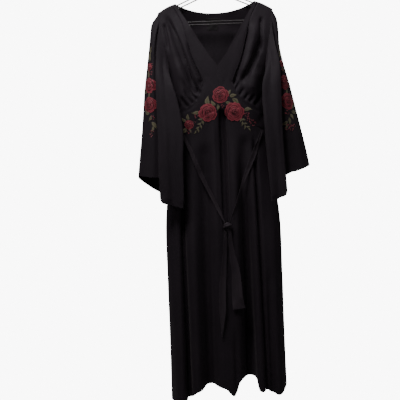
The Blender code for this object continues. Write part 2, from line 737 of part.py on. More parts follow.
def strap(name, path, widths, turns, thick=TIE_THICK):
    """A strap of flat section along a path. Turns are in degrees about the path, 0 facing the front."""
    path = np.array(path, float)
    along = unit(np.gradient(path, axis=0))
    wide = unit(np.cross(along, [0, 1, 0]))
    out = np.cross(wide, along)
    turn = np.radians(turns)[:, None]
    flat = wide * np.cos(turn) + out * np.sin(turn)
    face = out * np.cos(turn) - wide * np.sin(turn)
    half = np.array(widths)[:, None] / 2
    ring = np.stack(
        [
            path + flat * half,
            path + flat * half * 0.5 + face * thick / 2,
            path - flat * half * 0.5 + face * thick / 2,
            path - flat * half,
            path - flat * half * 0.5 - face * thick / 2,
            path + flat * half * 0.5 - face * thick / 2,
        ],
        axis=1,
    )
    sides = ring.shape[1]
    count = len(path)
    faces = [tuple(range(sides)), tuple(range((count - 1) * sides, count * sides))]
    for i in range(count - 1):
        for j in range(sides):
            a, b = i * sides, (i + 1) * sides
            faces.append((a + j, a + (j + 1) % sides, b + (j + 1) % sides, b + j))
    return add_object(name, ring.reshape(-1, 3), faces, crepe())


def sew_root(strap_object, tree):
    """Moves the first end of a strap back until it rests on the cloth, where it is sewn."""
    ring = list(strap_object.data.vertices)[:6]
    room = []
    for first in ring:
        for second in ring:
            start = (first.co + second.co) / 2
            room.append(tree.ray_cast(start, Vector((0, 1, 0)))[3])
    for vertex in ring:
        vertex.co.y += min(room) - 2 * SEAM_GAP


def knot_y():
    return clear_y(KNOT_X, KNOT_DEPTH, 0.030, WALL + KNOT_SIZE[1])


def tie_path(start, end, count, half_width):
    """Straight in the front view, and laid over the skirt where it would touch."""
    points = []
    for f in np.linspace(0, 1, count):
        x, depth = (np.array(start[:2]) * (1 - f) + np.array(end[:2]) * f).tolist()
        level = start[2] * (1 - f) + end[2] * f
        gap = WALL / 2 + SEAM_GAP + TIE_THICK / 2 + half_width * 0.45
        y = min(level, clear_y(x, depth, half_width, gap))
        points.append((x, y, -CORNER_DROP - depth))
    return points


def build_ties(pieces):
    cloth = surface_tree([pieces["band_left"], pieces["band_right"], pieces["skirt_front"]])
    y = knot_y()
    root_gap = WALL / 2 + SEAM_GAP + TIE_THICK / 2
    for side, name in ((-1, "tie_left"), (1, "tie_right")):
        width = TIE_WIDTH[side]
        x, depth = TIE_ROOT[side]
        root = (x, depth, clear_y(x, depth, 0.006, root_gap))
        end = (KNOT_X + side * TIE_ENTRY[0] * KNOT_SIZE[0], KNOT_DEPTH - TIE_ENTRY[1] * KNOT_SIZE[2], y)
        path = tie_path(root, end, 13, width / 2)
        f = np.linspace(0, 1, len(path))
        widths = width * (0.75 + 0.45 * np.sin(math.pi * f)) * (1 - 0.35 * smooth((f - 0.85) / 0.15))
        turns = side * TIE_TURN * np.sin(2 * math.pi * f)
        sew_root(strap(name, path, widths, turns), cloth)
    tails = (
        ("tail_left", -0.008, -0.021, 1.198, (0.010, 0.016, 0.024, 0.027, 0.004)),
        ("tail_right", 0.007, 0.045, 1.100, (0.010, 0.018, 0.028, 0.038, 0.044)),
    )
    for name, start_x, end_x, end_depth, widths in tails:
        start = (KNOT_X + start_x, KNOT_DEPTH + TAIL_EXIT * KNOT_SIZE[2] + SEAM_GAP, y)
        path = tie_path(start, (end_x, end_depth, y), 13, 0.016)
        wide = np.interp(np.linspace(0, 4, len(path)), range(5), widths)
        turns = TAIL_TURN * np.sin(np.linspace(0.4, 5.2, len(path)))
        turns[-1] = 0
        strap(name, path, wide, turns)
    build_knot(y)


def build_knot(y):
    work = bmesh.new()
    bmesh.ops.create_uvsphere(work, u_segments=12, v_segments=8, radius=1)
    centre = Vector((KNOT_X, y, -CORNER_DROP - KNOT_DEPTH))
    for vertex in work.verts:
        groove = 1 - 0.12 * math.exp(-((vertex.co.x - vertex.co.z) ** 2) / 0.05)
        vertex.co = Vector([c * s * groove for c, s in zip(vertex.co, KNOT_SIZE)]) + centre
    mesh = bpy.data.meshes.new("tie_knot")
    work.to_mesh(mesh)
    work.free()
    mesh.shade_smooth()
    mesh.materials.append(crepe())
    bpy.context.scene.collection.objects.link(bpy.data.objects.new("tie_knot", mesh))


def surface_tree(objects):
    """The cloth's faces, for laying pieces on them."""
    points, faces = [], []
    for thing in objects:
        offset = len(points)
        points += [v.co.copy() for v in thing.data.vertices]
        faces += [tuple(i + offset for i in p.vertices) for p in thing.data.polygons]
    return BVHTree.FromPolygons(points, faces)


def build_rose(name, tree, centre, radius, turn, ray, plane, limits):
    """A raised rose whose back follows the cloth. Centre and limits are read in the plane y = plane."""
    phase = 2 * math.pi * np.arange(ROSE_SEGMENTS) / ROSE_SEGMENTS
    reach = radius * (1 + 0.08 * np.cos(5 * phase + turn))
    for k, a in enumerate(phase):
        step = math.cos(a)
        if abs(step) > 0.05:
            room = ((limits[1] if step > 0 else limits[0]) - centre[0]) / step
            reach[k] = min(reach[k], room)
    ray = Vector(ray).normalized()
    under, over = [], []
    for fraction, thick in ROSE_RINGS:
        for k in range(ROSE_SEGMENTS if fraction else 1):
            x = centre[0] + fraction * reach[k] * math.cos(phase[k])
            z = -CORNER_DROP - centre[1] + fraction * reach[k] * math.sin(phase[k])
            hit = tree.ray_cast(Vector((x, plane, z)) - ray * 0.3, ray)[0]
            under.append(hit - ray * ROSE_CLEAR)
            over.append(hit - ray * (ROSE_CLEAR + thick))
    count = len(under)
    faces = []
    for base in (0, count):
        for k in range(ROSE_SEGMENTS):
            n = (k + 1) % ROSE_SEGMENTS
            faces.append((base, base + 1 + k, base + 1 + n))
            for ring in range(len(ROSE_RINGS) - 2):
                first = base + 1 + ring * ROSE_SEGMENTS
                second = first + ROSE_SEGMENTS
                faces.append((first + k, second + k, second + n, first + n))
    rim = 1 + (len(ROSE_RINGS) - 2) * ROSE_SEGMENTS
    for k in range(ROSE_SEGMENTS):
        n = (k + 1) % ROSE_SEGMENTS
        faces.append((rim + k, rim + n, count + rim + n, count + rim + k))
    return add_object(name, under + over, faces, material("rose_thread", RED, 0.6))


def build_roses(pieces):
    front = surface_tree([pieces["band_left"], pieces["band_right"], pieces["skirt_front"]])
    for k, (x, depth, radius, turn) in enumerate(zip(*MIDRIFF_ROSES.values())):
        build_rose(f"rose_midriff_{k + 1}", front, (x, depth), radius, turn, (0, 1, 0), 0, (-0.2, 0.2))
    for side, word in ((-1, "left"), (1, "right")):
        sleeve = surface_tree([pieces["sleeve_" + word]])
        for k, (x, depth, radius, turn) in enumerate(zip(*SLEEVE_ROSES.values())):
            inside = float(read(SLEEVE_CREASE[side], "x", depth)) + ROSE_MARGIN[0]
            outside = float(read(SLEEVE_OUTER[side], "x", depth)) - ROSE_MARGIN[1]
            outside = max(outside, inside + ROSE_LEAST)
            centre = side * min(x, (inside + outside) / 2)
            limits = (side * inside, side * outside)[::side]
            ray = (-side * 0.5, 0.87, 0)
            plane = SLEEVE_ROSE_PLANE
            build_rose(f"rose_sleeve_{word}_{k + 1}", sleeve, (centre, depth), radius, turn, ray, plane, limits)


def build_label(name, centre_x, top, bottom, width, tree, thick, drop_in):
    """A flat tag inside the back neck."""
    x0, x1 = centre_x - width / 2, centre_x + width / 2
    hits = []
    for x in (x0, x1):
        for depth in (top, bottom):
            origin = Vector((x, 0, -CORNER_DROP - depth))
            hits.append(tree.ray_cast(origin, Vector((0, 1, 0)))[0].y)
    back = min(hits) - drop_in
    points = []
    for y in (back - thick, back):
        for x, depth in ((x0, top), (x1, top), (x1, bottom), (x0, bottom)):
            points.append((x, y, -CORNER_DROP - depth))
    faces = [(0, 1, 2, 3), (4, 5, 6, 7)]
    for k in range(4):
        faces.append((k, (k + 1) % 4, 4 + (k + 1) % 4, 4 + k))
    return add_object(name, points, faces, material("label_satin", BLACK, 0.45))


def main():
    for thing in list(bpy.data.objects):
        bpy.data.objects.remove(thing)
    pieces = {}
    for side, word in ((-1, "left"), (1, "right")):
        for kind, build in (("band", build_band), ("cup", build_cup), ("sleeve", build_sleeve)):
            pieces[f"{kind}_{word}"] = build(side, f"{kind}_{word}")
    back = build_back()
    pieces["skirt_front"] = build_skirt_front()
    build_skirt_back()
    build_ties(pieces)
    build_roses(pieces)
    inside = surface_tree([back])
    build_label("neck_label", -0.009, 0.050, 0.072, 0.050, inside, 0.0012, SEAM_GAP)
    build_label("size_tab", -0.009, 0.0723, 0.094, 0.037, inside, 0.0010, SEAM_GAP)
    build_hanger()


main()
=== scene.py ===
"""Looks of a long black dress with bell sleeves, hung on a twin-rail hanger.

Metres, in the frame of the solids: +Z up, front towards -Y, origin at the inside top of the hook.
A depth is a distance below the neck corners at the shoulders. Left is the viewer's left, at -X.
"""

import math

import bmesh
import bpy
import numpy as np
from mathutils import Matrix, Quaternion, Vector
from mathutils.bvhtree import BVHTree


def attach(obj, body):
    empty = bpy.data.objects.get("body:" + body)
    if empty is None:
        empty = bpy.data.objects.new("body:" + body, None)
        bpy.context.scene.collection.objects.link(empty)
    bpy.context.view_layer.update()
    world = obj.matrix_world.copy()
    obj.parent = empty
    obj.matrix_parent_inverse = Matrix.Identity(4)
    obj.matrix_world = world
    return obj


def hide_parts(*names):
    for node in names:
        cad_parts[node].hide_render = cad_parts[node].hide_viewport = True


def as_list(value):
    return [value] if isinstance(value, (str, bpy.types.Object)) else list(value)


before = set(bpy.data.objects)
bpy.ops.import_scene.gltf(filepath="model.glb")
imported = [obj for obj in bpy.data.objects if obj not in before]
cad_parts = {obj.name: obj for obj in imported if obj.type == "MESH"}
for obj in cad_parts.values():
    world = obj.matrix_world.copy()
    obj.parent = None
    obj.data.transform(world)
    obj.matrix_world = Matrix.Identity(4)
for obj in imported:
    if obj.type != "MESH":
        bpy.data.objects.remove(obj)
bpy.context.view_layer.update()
RNG = np.random.default_rng(11)

# Sizes shared with the solids
CORNER_DROP = 0.165  # hook's inside top down to the neck corners
HEM_DEPTH = 1.385  # the hem at the centre of the front
WALL = 0.0016  # crepe, with its seam allowance
NECK_HALF = 0.142
BACK_NECK_DROP = 0.033
WAIST = 0.474  # skirt seam at the sides and across the back
UNDERARM = 0.256
RIDGE_RADIUS = 0.009  # how far the cloth stands off where it folds over the hanger
OPENING_LENGTH = 0.130  # over which the two sides part below the shoulder
FOLD_FADE = 0.050
LENS_POWER = 3.0


def table(columns, *rows):
    """A table as a dictionary of its named columns."""
    return dict(zip(columns.split(), np.array(rows, float).T))


SHOULDER = table(
    "x depth",
    (0.000, -0.062),
    (0.100, -0.018),
    (0.142, 0.000),
    (0.170, 0.010),
    (0.190, 0.021),
    (0.206, 0.031),
)

BODY = table(
    "depth half_width front back",
    (-0.070, 0.228, 0.026, 0.026),
    (0.000, 0.226, 0.034, 0.032),
    (0.100, 0.214, 0.042, 0.040),
    (0.180, 0.199, 0.049, 0.044),
    (0.256, 0.178, 0.055, 0.046),
    (0.350, 0.173, 0.060, 0.046),
    (0.474, 0.170, 0.052, 0.047),
    (0.600, 0.182, 0.055, 0.053),
    (0.740, 0.203, 0.062, 0.062),
    (1.000, 0.209, 0.070, 0.075),
    (1.200, 0.209, 0.074, 0.082),
    (1.480, 0.212, 0.078, 0.088),
)

# The plain band: its inner edge is the neck, the centre front and the skirt seam,
# its outer edge the cup's seam
BAND = table(
    "inner_x inner_depth outer_x outer_depth",
    (0.142, 0.0000, 0.156, 0.0045),
    (0.129, 0.0240, 0.138, 0.0360),
    (0.105, 0.0650, 0.121, 0.0730),
    (0.079, 0.1100, 0.109, 0.1155),
    (0.052, 0.1560, 0.098, 0.1585),
    (0.026, 0.1980, 0.087, 0.1990),
    (0.000, 0.2340, 0.074, 0.2325),
    (0.000, 0.2650, 0.060, 0.2640),
    (0.000, 0.2960, 0.049, 0.2930),
    (0.000, 0.3350, 0.062, 0.3300),
    (0.000, 0.3740, 0.080, 0.3610),
    (0.040, 0.3920, 0.101, 0.3800),
    (0.080, 0.4180, 0.126, 0.3920),
    (0.120, 0.4460, 0.150, 0.4010),
    (0.170, 0.4740, 0.172, 0.4090),
)
CUP_CORNER = 8  # rows of the band beside the cup's inner seam
SEAM_APEX = 10  # row where the skirt seam starts, at the centre front
SIDE_SEAM = 14  # the band's last row, at the side seam
BAND_STEPS = 2  # rows of cloth for each row of the table

ARMHOLE = table(
    "depth front_x back_x",
    (0.0310, 0.2060, 0.2060),
    (0.0440, 0.2035, 0.2040),
    (0.0580, 0.2010, 0.2020),
    (0.0740, 0.1985, 0.1995),
    (0.0920, 0.1960, 0.1975),
    (0.1150, 0.1920, 0.1945),
    (0.1430, 0.1875, 0.1910),
    (0.1750, 0.1810, 0.1870),
    (0.2100, 0.1755, 0.1820),
    (0.2380, 0.1740, 0.1790),
    (0.2560, 0.1780, 0.1780),
)

# Folds of the front, seen from outside: a positive deep goes in,
# left and right are the half widths of its sides
FRONT_FOLDS = table(
    "start end x_start x_middle x_end deep_start deep_middle deep_end left right",
    (0.020, 0.345, -0.181, -0.137, -0.078, 0.003, 0.010, 0.006, 0.011, 0.009),
    (0.255, 0.375, -0.134, -0.112, -0.083, 0.002, 0.006, 0.003, 0.009, 0.007),
    (0.130, 0.300, 0.160, 0.132, 0.094, 0.003, 0.009, 0.005, 0.010, 0.010),
    (0.190, 0.385, 0.130, 0.132, 0.128, -0.003, -0.012, -0.004, 0.034, 0.028),
    (0.190, 0.385, -0.140, -0.138, -0.132, -0.003, -0.010, -0.004, 0.026, 0.032),
    (0.376, 0.960, 0.006, 0.008, 0.010, 0.010, 0.012, 0.000, 0.008, 0.020),
    (0.620, 1.600, -0.143, -0.143, -0.143, 0.010, 0.034, 0.044, 0.012, 0.010),
    (0.720, 1.600, -0.176, -0.176, -0.178, -0.002, -0.024, -0.038, 0.026, 0.026),
    (0.500, 1.600, -0.058, -0.066, -0.068, 0.006, 0.026, 0.044, 0.028, 0.024),
    (0.480, 1.600, -0.104, -0.106, -0.106, -0.002, -0.010, -0.016, 0.024, 0.024),
    (1.180, 1.600, 0.025, 0.026, 0.026, 0.001, 0.006, 0.010, 0.009, 0.009),
    (0.470, 1.600, 0.088, 0.076, 0.070, 0.006, 0.046, 0.086, 0.022, 0.019),
    (0.480, 1.600, 0.120, 0.128, 0.135, 0.006, 0.013, 0.018, 0.008, 0.010),
    (0.960, 1.600, 0.158, 0.158, 0.158, 0.002, 0.008, 0.013, 0.013, 0.013),
    (0.600, 1.600, 0.178, 0.184, 0.186, -0.003, -0.012, -0.022, 0.020, 0.018),
)

BACK_FOLDS = table(
    "start end x_start x_middle x_end deep_start deep_middle deep_end left right",
    (0.060, 0.430, -0.120, -0.105, -0.085, 0.000, 0.007, 0.004, 0.016, 0.014),
    (0.060, 0.430, 0.120, 0.105, 0.085, 0.000, 0.007, 0.004, 0.014, 0.016),
    (0.500, 1.600, -0.110, -0.125, -0.140, 0.004, 0.020, 0.030, 0.022, 0.022),
    (0.500, 1.600, -0.055, -0.064, -0.078, 0.004, 0.022, 0.034, 0.022, 0.022),
    (0.500, 1.600, -0.006, -0.010, -0.012, 0.004, 0.024, 0.036, 0.022, 0.022),
    (0.500, 1.600, 0.045, 0.044, 0.046, 0.002, 0.010, 0.014, 0.020, 0.020),
    (0.500, 1.600, 0.095, 0.110, 0.120, 0.004, 0.018, 0.028, 0.022, 0.022),
    (0.700, 1.600, 0.150, 0.160, 0.168, 0.002, 0.012, 0.018, 0.016, 0.016),
)

FRONT_HEM = table(
    "x lower",
    (-0.214, 0.045),
    (-0.176, 0.050),
    (-0.143, 0.037),
    (-0.115, 0.011),
    (-0.090, 0.000),
    (-0.068, -0.009),
    (-0.015, 0.003),
    (0.026, 0.018),
    (0.036, -0.012),
    (0.070, -0.028),
    (0.092, -0.022),
    (0.106, 0.012),
    (0.135, 0.017),
    (0.190, 0.030),
    (0.214, 0.001),
)
BACK_HEM = table(
    "x lower",
    (-0.214, 0.045),
    (-0.150, 0.012),
    (-0.080, -0.016),
    (0.000, -0.022),
    (0.080, -0.024),
    (0.150, -0.014),
    (0.214, 0.001),
)

# Edges of each sleeve, as distances from the centre plane
SLEEVE_OUTER = {
    -1: table(
        "depth x",
        (0.031, 0.207),
        (0.049, 0.221),
        (0.071, 0.230),
        (0.103, 0.235),
        (0.167, 0.244),
        (0.222, 0.252),
        (0.300, 0.264),
        (0.386, 0.272),
        (0.496, 0.284),
        (0.615, 0.299),
        (0.700, 0.309),
    ),
    1: table(
        "depth x",
        (0.031, 0.207),
        (0.049, 0.216),
        (0.071, 0.221),
        (0.103, 0.224),
        (0.167, 0.227),
        (0.222, 0.237),
        (0.300, 0.257),
        (0.386, 0.275),
        (0.496, 0.299),
        (0.600, 0.319),
        (0.700, 0.335),
    ),
}
SLEEVE_INNER = {
    -1: table(
        "depth x",
        (0.200, 0.178),
        (0.238, 0.173),
        (0.300, 0.161),
        (0.361, 0.147),
        (0.452, 0.134),
        (0.570, 0.137),
        (0.732, 0.140),
    ),
    1: table(
        "depth x",
        (0.200, 0.176),
        (0.238, 0.170),
        (0.300, 0.157),
        (0.361, 0.154),
        (0.426, 0.157),
        (0.570, 0.163),
        (0.732, 0.174),
    ),
}
SLEEVE_CREASE = {
    -1: table(
        "depth x",
        (0.250, 0.220),
        (0.700, 0.219),
    ),
    1: table(
        "depth x",
        (0.250, 0.221),
        (0.550, 0.220),
        (0.700, 0.227),
    ),
}
CREASE_SHARE = 0.75  # near the shoulder the crease stays within this share of the way to the outer edge

# Lines down the sleeve. Place counts armhole rows from the shoulder, down the front and up the back.
# Across is 0 at the inner edge, 1 at the crease and 2 at the outer edge.
# Settle is where a line leaves the armhole.
SLEEVE = table(
    "place across y_upper y_middle y_hem hem_left hem_right settle",
    (0.0, 2.00, -0.006, -0.014, -0.022, 0.615, 0.600, 0.08),
    (1.5, 1.52, -0.030, -0.044, -0.054, 0.620, 0.617, 0.20),
    (2.6, 0.90, -0.042, -0.058, -0.066, 0.632, 0.634, 0.30),
    (3.6, 1.02, -0.058, -0.080, -0.094, 0.690, 0.681, 0.32),
    (6.0, 0.50, -0.060, -0.090, -0.094, 0.722, 0.711, 0.32),
    (9.0, 0.00, -0.050, -0.078, -0.086, 0.732, 0.719, 0.16),
    (10.0, 0.42, -0.018, -0.054, -0.064, 0.722, 0.710, 0.12),
    (13.5, 0.85, 0.018, -0.012, -0.018, 0.688, 0.648, 0.22),
    (17.0, 1.55, 0.030, 0.024, 0.020, 0.652, 0.615, 0.20),
)
SLEEVE_STATIONS = (0.20, 0.42, 0.68)

# Ties
TIE_THICK = 0.0030
KNOT_X = 0.013
KNOT_DEPTH = 0.803
KNOT_SIZE = (0.0150, 0.0105, 0.0135)
TIE_ENTRY = (0.61, 0.84)  # where a tie meets the knot, as shares of its half width and half height
TAIL_EXIT = 0.95
TIE_WIDTH = {-1: 0.013, 1: 0.014}
TAIL_TURN = 22  # degrees
TIE_ROOT = {-1: (-0.150, 0.437), 1: (0.150, 0.468)}  # x and depth below the neck corner

# Hanger
RAIL_RADIUS = 0.0025
RAIL_BELOW = 0.0088  # its middle below the fold of the cloth
RUNG_BAR_X = 0.110
RAIL_SPACING = 0.010
BAR_DEPTH = 0.078
TIP_X = 0.2030
TIP_DEPTH = 0.054
APEX_DEPTH = -0.058
HOOK_RADIUS = 0.0022
HOOK_BOW = 0.0225
HOOK_ARC = (205, -68)  # degrees from +X, from the tip round to the stem
HOOK_STEM = ((0.0, 0.0457), (-0.002, 0.0357), (0.002, 0.0265))  # sideways and below the bow's centre
COLLAR_RADIUS = 0.0065
COLLAR_TOP = -0.078


def read(rows, column, at):
    """Values of a column at these places of the first column, on a smooth curve through the rows."""
    key = next(iter(rows.values()))
    value = rows[column]
    slope = np.gradient(value, key)
    at = np.clip(at, key[0], key[-1])
    i = np.clip(np.searchsorted(key, at, side="right") - 1, 0, len(key) - 2)
    step = key[i + 1] - key[i]
    f = (at - key[i]) / step
    start = (1 + 2 * f) * value[i] + f * step * slope[i]
    end = (3 - 2 * f) * value[i + 1] + (f - 1) * step * slope[i + 1]
    return (1 - f) ** 2 * start + f**2 * end


def smooth(f):
    """Eased step from 0 to 1."""
    f = np.clip(f, 0, 1)
    return f * f * (3 - 2 * f)


def through(start, middle, end, f):
    """Parabola through three values at 0, a half and 1."""
    return start * (1 - f) * (1 - 2 * f) + 4 * middle * f * (1 - f) + end * f * (2 * f - 1)


def unit(vectors):
    return vectors / np.linalg.norm(vectors, axis=-1, keepdims=True)


def fold_depth(folds, x, depth):
    """How far the folds push the cloth in."""
    total = np.zeros(np.broadcast(x, depth).shape)
    for start, end, x0, x1, x2, d0, d1, d2, left, right in zip(*folds.values()):
        f = np.clip((depth - start) / (end - start), 0, 1)
        off = x - through(x0, x1, x2, f)
        width = np.where(off < 0, left, right)
        fade = smooth((depth - start) / FOLD_FADE) * smooth((end - depth) / FOLD_FADE)
        total += through(d0, d1, d2, f) * fade * np.exp(-((off / width) ** 2))
    return total


def body(angle, depth):
    """Middle of the cloth at this angle round the body, from 0 at the front's centre."""
    angle, depth = np.broadcast_arrays(np.asarray(angle, float), np.asarray(depth, float))
    x = read(BODY, "half_width", depth) * np.sin(angle)
    front = np.cos(angle) >= 0
    reach = np.where(front, read(BODY, "front", depth), read(BODY, "back", depth))
    lens = np.sqrt(np.clip(1 - np.abs(np.sin(angle)) ** LENS_POWER, 0, 1))
    below = depth - read(SHOULDER, "depth", np.abs(x))
    ridge = RIDGE_RADIUS * np.sqrt(1 - (1 - np.clip(below / RIDGE_RADIUS, 0, 1)) ** 2)
    out = ridge * lens**0.3 + (reach - RIDGE_RADIUS) * smooth(below / OPENING_LENGTH) * lens
    folds = np.where(front, fold_depth(FRONT_FOLDS, x, depth), fold_depth(BACK_FOLDS, x, depth))
    out = out - folds * np.sqrt(lens) * smooth(below / FOLD_FADE)
    return np.stack([x, np.where(front, -out, out), -CORNER_DROP - depth], axis=-1)


def outward(angle, depth):
    """Unit normals of the body's cloth, pointing out."""
    small = 2e-5
    x = read(BODY, "half_width", depth) * np.sin(angle)
    depth = np.maximum(depth, read(SHOULDER, "depth", np.abs(x)) + 1.5 * small)
    down = body(angle, depth + small) - body(angle, depth - small)
    across = body(angle + small, depth) - body(angle - small, depth)
    return unit(np.cross(down, across))


def angle_of(x, depth):
    return np.arcsin(np.clip(x / read(BODY, "half_width", depth), -1, 1))


def front_y(x, depth):
    return body(angle_of(x, depth), depth)[..., 1]


THIN = 0.0012  # cloth as it shows
FINE = 6  # columns and rows of cloth for each one of the solids


def rows_between(values, start, stop, steps):
    """A table's column read smoothly from one row to another, with this many steps a row."""
    rows = {"row": np.arange(start, stop + 1, dtype=float), "value": values[start : stop + 1]}
    return read(rows, "value", start + np.arange((stop - start) * steps + 1) / steps)


def seam_edge(side, which, steps, first=0, last=SIDE_SEAM):
    """Angles and depths of an edge of the band, sharp at the cup's corner and at the skirt's apex."""
    depth = BAND[which + "_depth"].copy()
    if which == "outer":
        depth[0] = read(SHOULDER, "depth", BAND["outer_x"][0])
    angle = side * angle_of(BAND[which + "_x"], depth)
    angle[-1] = side * math.pi / 2
    stops = [first] + [s for s in (CUP_CORNER, SEAM_APEX) if first < s < last] + [last]
    parts = []
    for a, b in zip(stops, stops[1:]):
        run = np.stack([rows_between(angle, a, b, steps), rows_between(depth, a, b, steps)], axis=1)
        parts.append(run if not parts else run[1:])
    return np.concatenate(parts)


def armhole_run(side, which, steps):
    """Angles and depths from the shoulder to the underarm."""
    angle = angle_of(ARMHOLE[which + "_x"], ARMHOLE["depth"])
    angle[-1] = math.pi / 2
    last = len(angle) - 1
    angle = rows_between(angle, 0, last, steps)
    depth = rows_between(ARMHOLE["depth"], 0, last, steps)
    return np.stack([side * (angle if which == "front" else math.pi - angle), depth], axis=1)


def shoulder_run(side, x0, x1, count):
    x = np.linspace(x0, x1, count)
    depth = read(SHOULDER, "depth", x)
    return np.stack([side * angle_of(x, depth), depth], axis=1)


def coons(top, bottom, left, right):
    """A grid that blends four edges, each an array of angle and depth pairs."""
    b = np.linspace(0, 1, len(left))[:, None, None]
    a = np.linspace(0, 1, len(top))[None, :, None]
    down = top[None] * (1 - b) + bottom[None] * b
    across = left[:, None] * (1 - a) + right[:, None] * a
    corners = (top[0] * (1 - a) + top[-1] * a) * (1 - b) + (bottom[0] * (1 - a) + bottom[-1] * a) * b
    return down + across - corners


def band_grid(side):
    inner = seam_edge(side, "inner", FINE)
    outer = seam_edge(side, "outer", FINE)
    across = np.linspace(0, 1, 15)[None, :, None]
    grid = inner[:, None] * (1 - across) + outer[:, None] * across
    grid[0] = shoulder_run(side, NECK_HALF, BAND["outer_x"][0], grid.shape[1])
    return grid


def cup_grid(side):
    steps = FINE * BAND_STEPS
    inner = seam_edge(side, "outer", steps, 0, CUP_CORNER)
    bottom = seam_edge(side, "outer", steps, CUP_CORNER, SIDE_SEAM)
    arm = armhole_run(side, "front", FINE)
    run = np.linspace(UNDERARM, bottom[-1, 1], len(inner) + 1 - len(arm))[1:]
    outer = np.concatenate([arm, np.stack([np.full(len(run), side * math.pi / 2), run], axis=1)])
    top = shoulder_run(side, BAND["outer_x"][0], ARMHOLE["front_x"][0], len(bottom))
    return coons(top, bottom, inner, outer)


def back_grid():
    shoulder = np.linspace(ARMHOLE["back_x"][0], NECK_HALF, 4 * FINE + 1)
    neck = np.linspace(-NECK_HALF, NECK_HALF, 12 * FINE + 1)
    x = np.concatenate([-shoulder, neck[1:-1], shoulder[::-1]])
    drop = BACK_NECK_DROP * (1 - (np.abs(x) / NECK_HALF) ** 2.4)
    depth = np.where(np.abs(x) < NECK_HALF, drop, read(SHOULDER, "depth", np.abs(x)))
    top = np.stack([math.pi - angle_of(x, depth), depth], axis=1)
    edges = []
    for side in (-1, 1):
        arm = armhole_run(side, "back", FINE)
        if side < 0:
            arm[:, 0] += 2 * math.pi
        run = np.linspace(UNDERARM, WAIST, 6 * FINE + 1)[1:]
        edge = np.stack([np.full(len(run), math.pi - side * math.pi / 2), run], axis=1)
        edges.append(np.concatenate([arm, edge]))
    bottom = np.stack([math.pi - np.linspace(-1, 1, len(x)) * math.pi / 2, np.full(len(x), WAIST)], axis=1)
    return coons(top, bottom, edges[0], edges[1])


def skirt_front_grid():
    halves = [seam_edge(side, "inner", FINE * 5, SEAM_APEX, SIDE_SEAM) for side in (-1, 1)]
    top = np.concatenate([halves[0][::-1], halves[1][1:]])
    hem_x = read(BODY, "half_width", HEM_DEPTH) * np.sin(top[:, 0])
    hem = HEM_DEPTH + read(FRONT_HEM, "lower", hem_x)
    down = np.linspace(0, 1, 120)[:, None] ** 1.15
    depth = top[None, :, 1] * (1 - down) + hem[None] * down
    return np.stack([np.broadcast_to(top[:, 0], depth.shape), depth], axis=-1)


def skirt_back_grid():
    angle = np.linspace(math.pi / 2, math.pi * 3 / 2, 220)
    hem_x = read(BODY, "half_width", HEM_DEPTH) * np.sin(angle)
    hem = HEM_DEPTH + read(BACK_HEM, "lower", hem_x)
    down = np.linspace(0, 1, 90)[:, None]
    depth = WAIST * (1 - down) + hem[None] * down
    return np.stack([np.broadcast_to(angle, depth.shape), depth], axis=-1)


def around(column, place):
    """A column of the sleeve's lines, read round the closed ring."""
    turn = 2 * (len(ARMHOLE["depth"]) - 1)
    key = SLEEVE["place"]
    loop = {
        "place": np.concatenate([key[-3:] - turn, key, key[:3] + turn]),
        "value": np.concatenate([SLEEVE[column][-3:], SLEEVE[column], SLEEVE[column][:3]]),
    }
    return read(loop, "value", place)


def sleeve_edges(side, depth, across):
    inner = read(SLEEVE_INNER[side], "x", depth)
    outer = read(SLEEVE_OUTER[side], "x", depth)
    crease = np.minimum(read(SLEEVE_CREASE[side], "x", depth), inner + (outer - inner) * CREASE_SHARE)
    low = inner + (crease - inner) * np.minimum(across, 1)
    return side * (low + (outer - crease) * np.clip(across - 1, 0, 1))


def sleeve_grid(side):
    """Middle of a sleeve's cloth, row by row from the armhole to the cuff."""
    steps = 9
    front = armhole_run(side, "front", steps)
    back = armhole_run(side, "back", steps)
    ring = np.concatenate([front, back[::-1][1:-1]])
    start = body(ring[:, 0], ring[:, 1])
    start_normals = outward(ring[:, 0], ring[:, 1])
    place = np.arange(len(start)) / steps
    v = np.linspace(0, 1, 96)[:, None] ** 1.35
    hem = around("hem_left" if side < 0 else "hem_right", place)
    depth = (-CORNER_DROP - start[:, 2]) * (1 - v) + hem * v
    x = sleeve_edges(side, depth, np.clip(around("across", place), 0, 2))
    y_at = [around(name, place)[None] for name in ("y_upper", "y_middle", "y_hem")]
    upper, _, low = SLEEVE_STATIONS
    y = through(*y_at, np.clip((depth - upper) / (low - upper), -0.3, 1.1))
    settle = 1 - (1 - np.clip(v / around("settle", place), 0, 1)) ** 2
    x = start[:, 0] * (1 - settle) + x * settle
    y = start[:, 1] * (1 - settle) + y * settle
    points = np.stack([x, y, -CORNER_DROP - depth], axis=-1)
    across = np.roll(points, -1, axis=1) - np.roll(points, 1, axis=1)
    normals = unit(np.cross(across, np.gradient(points, axis=0))) * side
    underarm = (len(ARMHOLE["depth"]) - 1) * steps
    keep = smooth(np.abs(np.arange(len(start)) - underarm) / 22)[:, None]
    normals[0] = unit(start_normals * keep + (normals[0] + np.array([0, 0, -1])) * (1 - keep))
    seam = np.roll(points[0], -1, axis=0) - np.roll(points[0], 1, axis=0)
    away = -side * unit(np.cross(seam, normals[0]))
    points[0] -= (away * 0.0012 + start_normals * 0.0005) * keep
    points[0] += np.array([side, 0, 1]) * 0.0002 * (1 - keep)
    return points, normals, place, depth


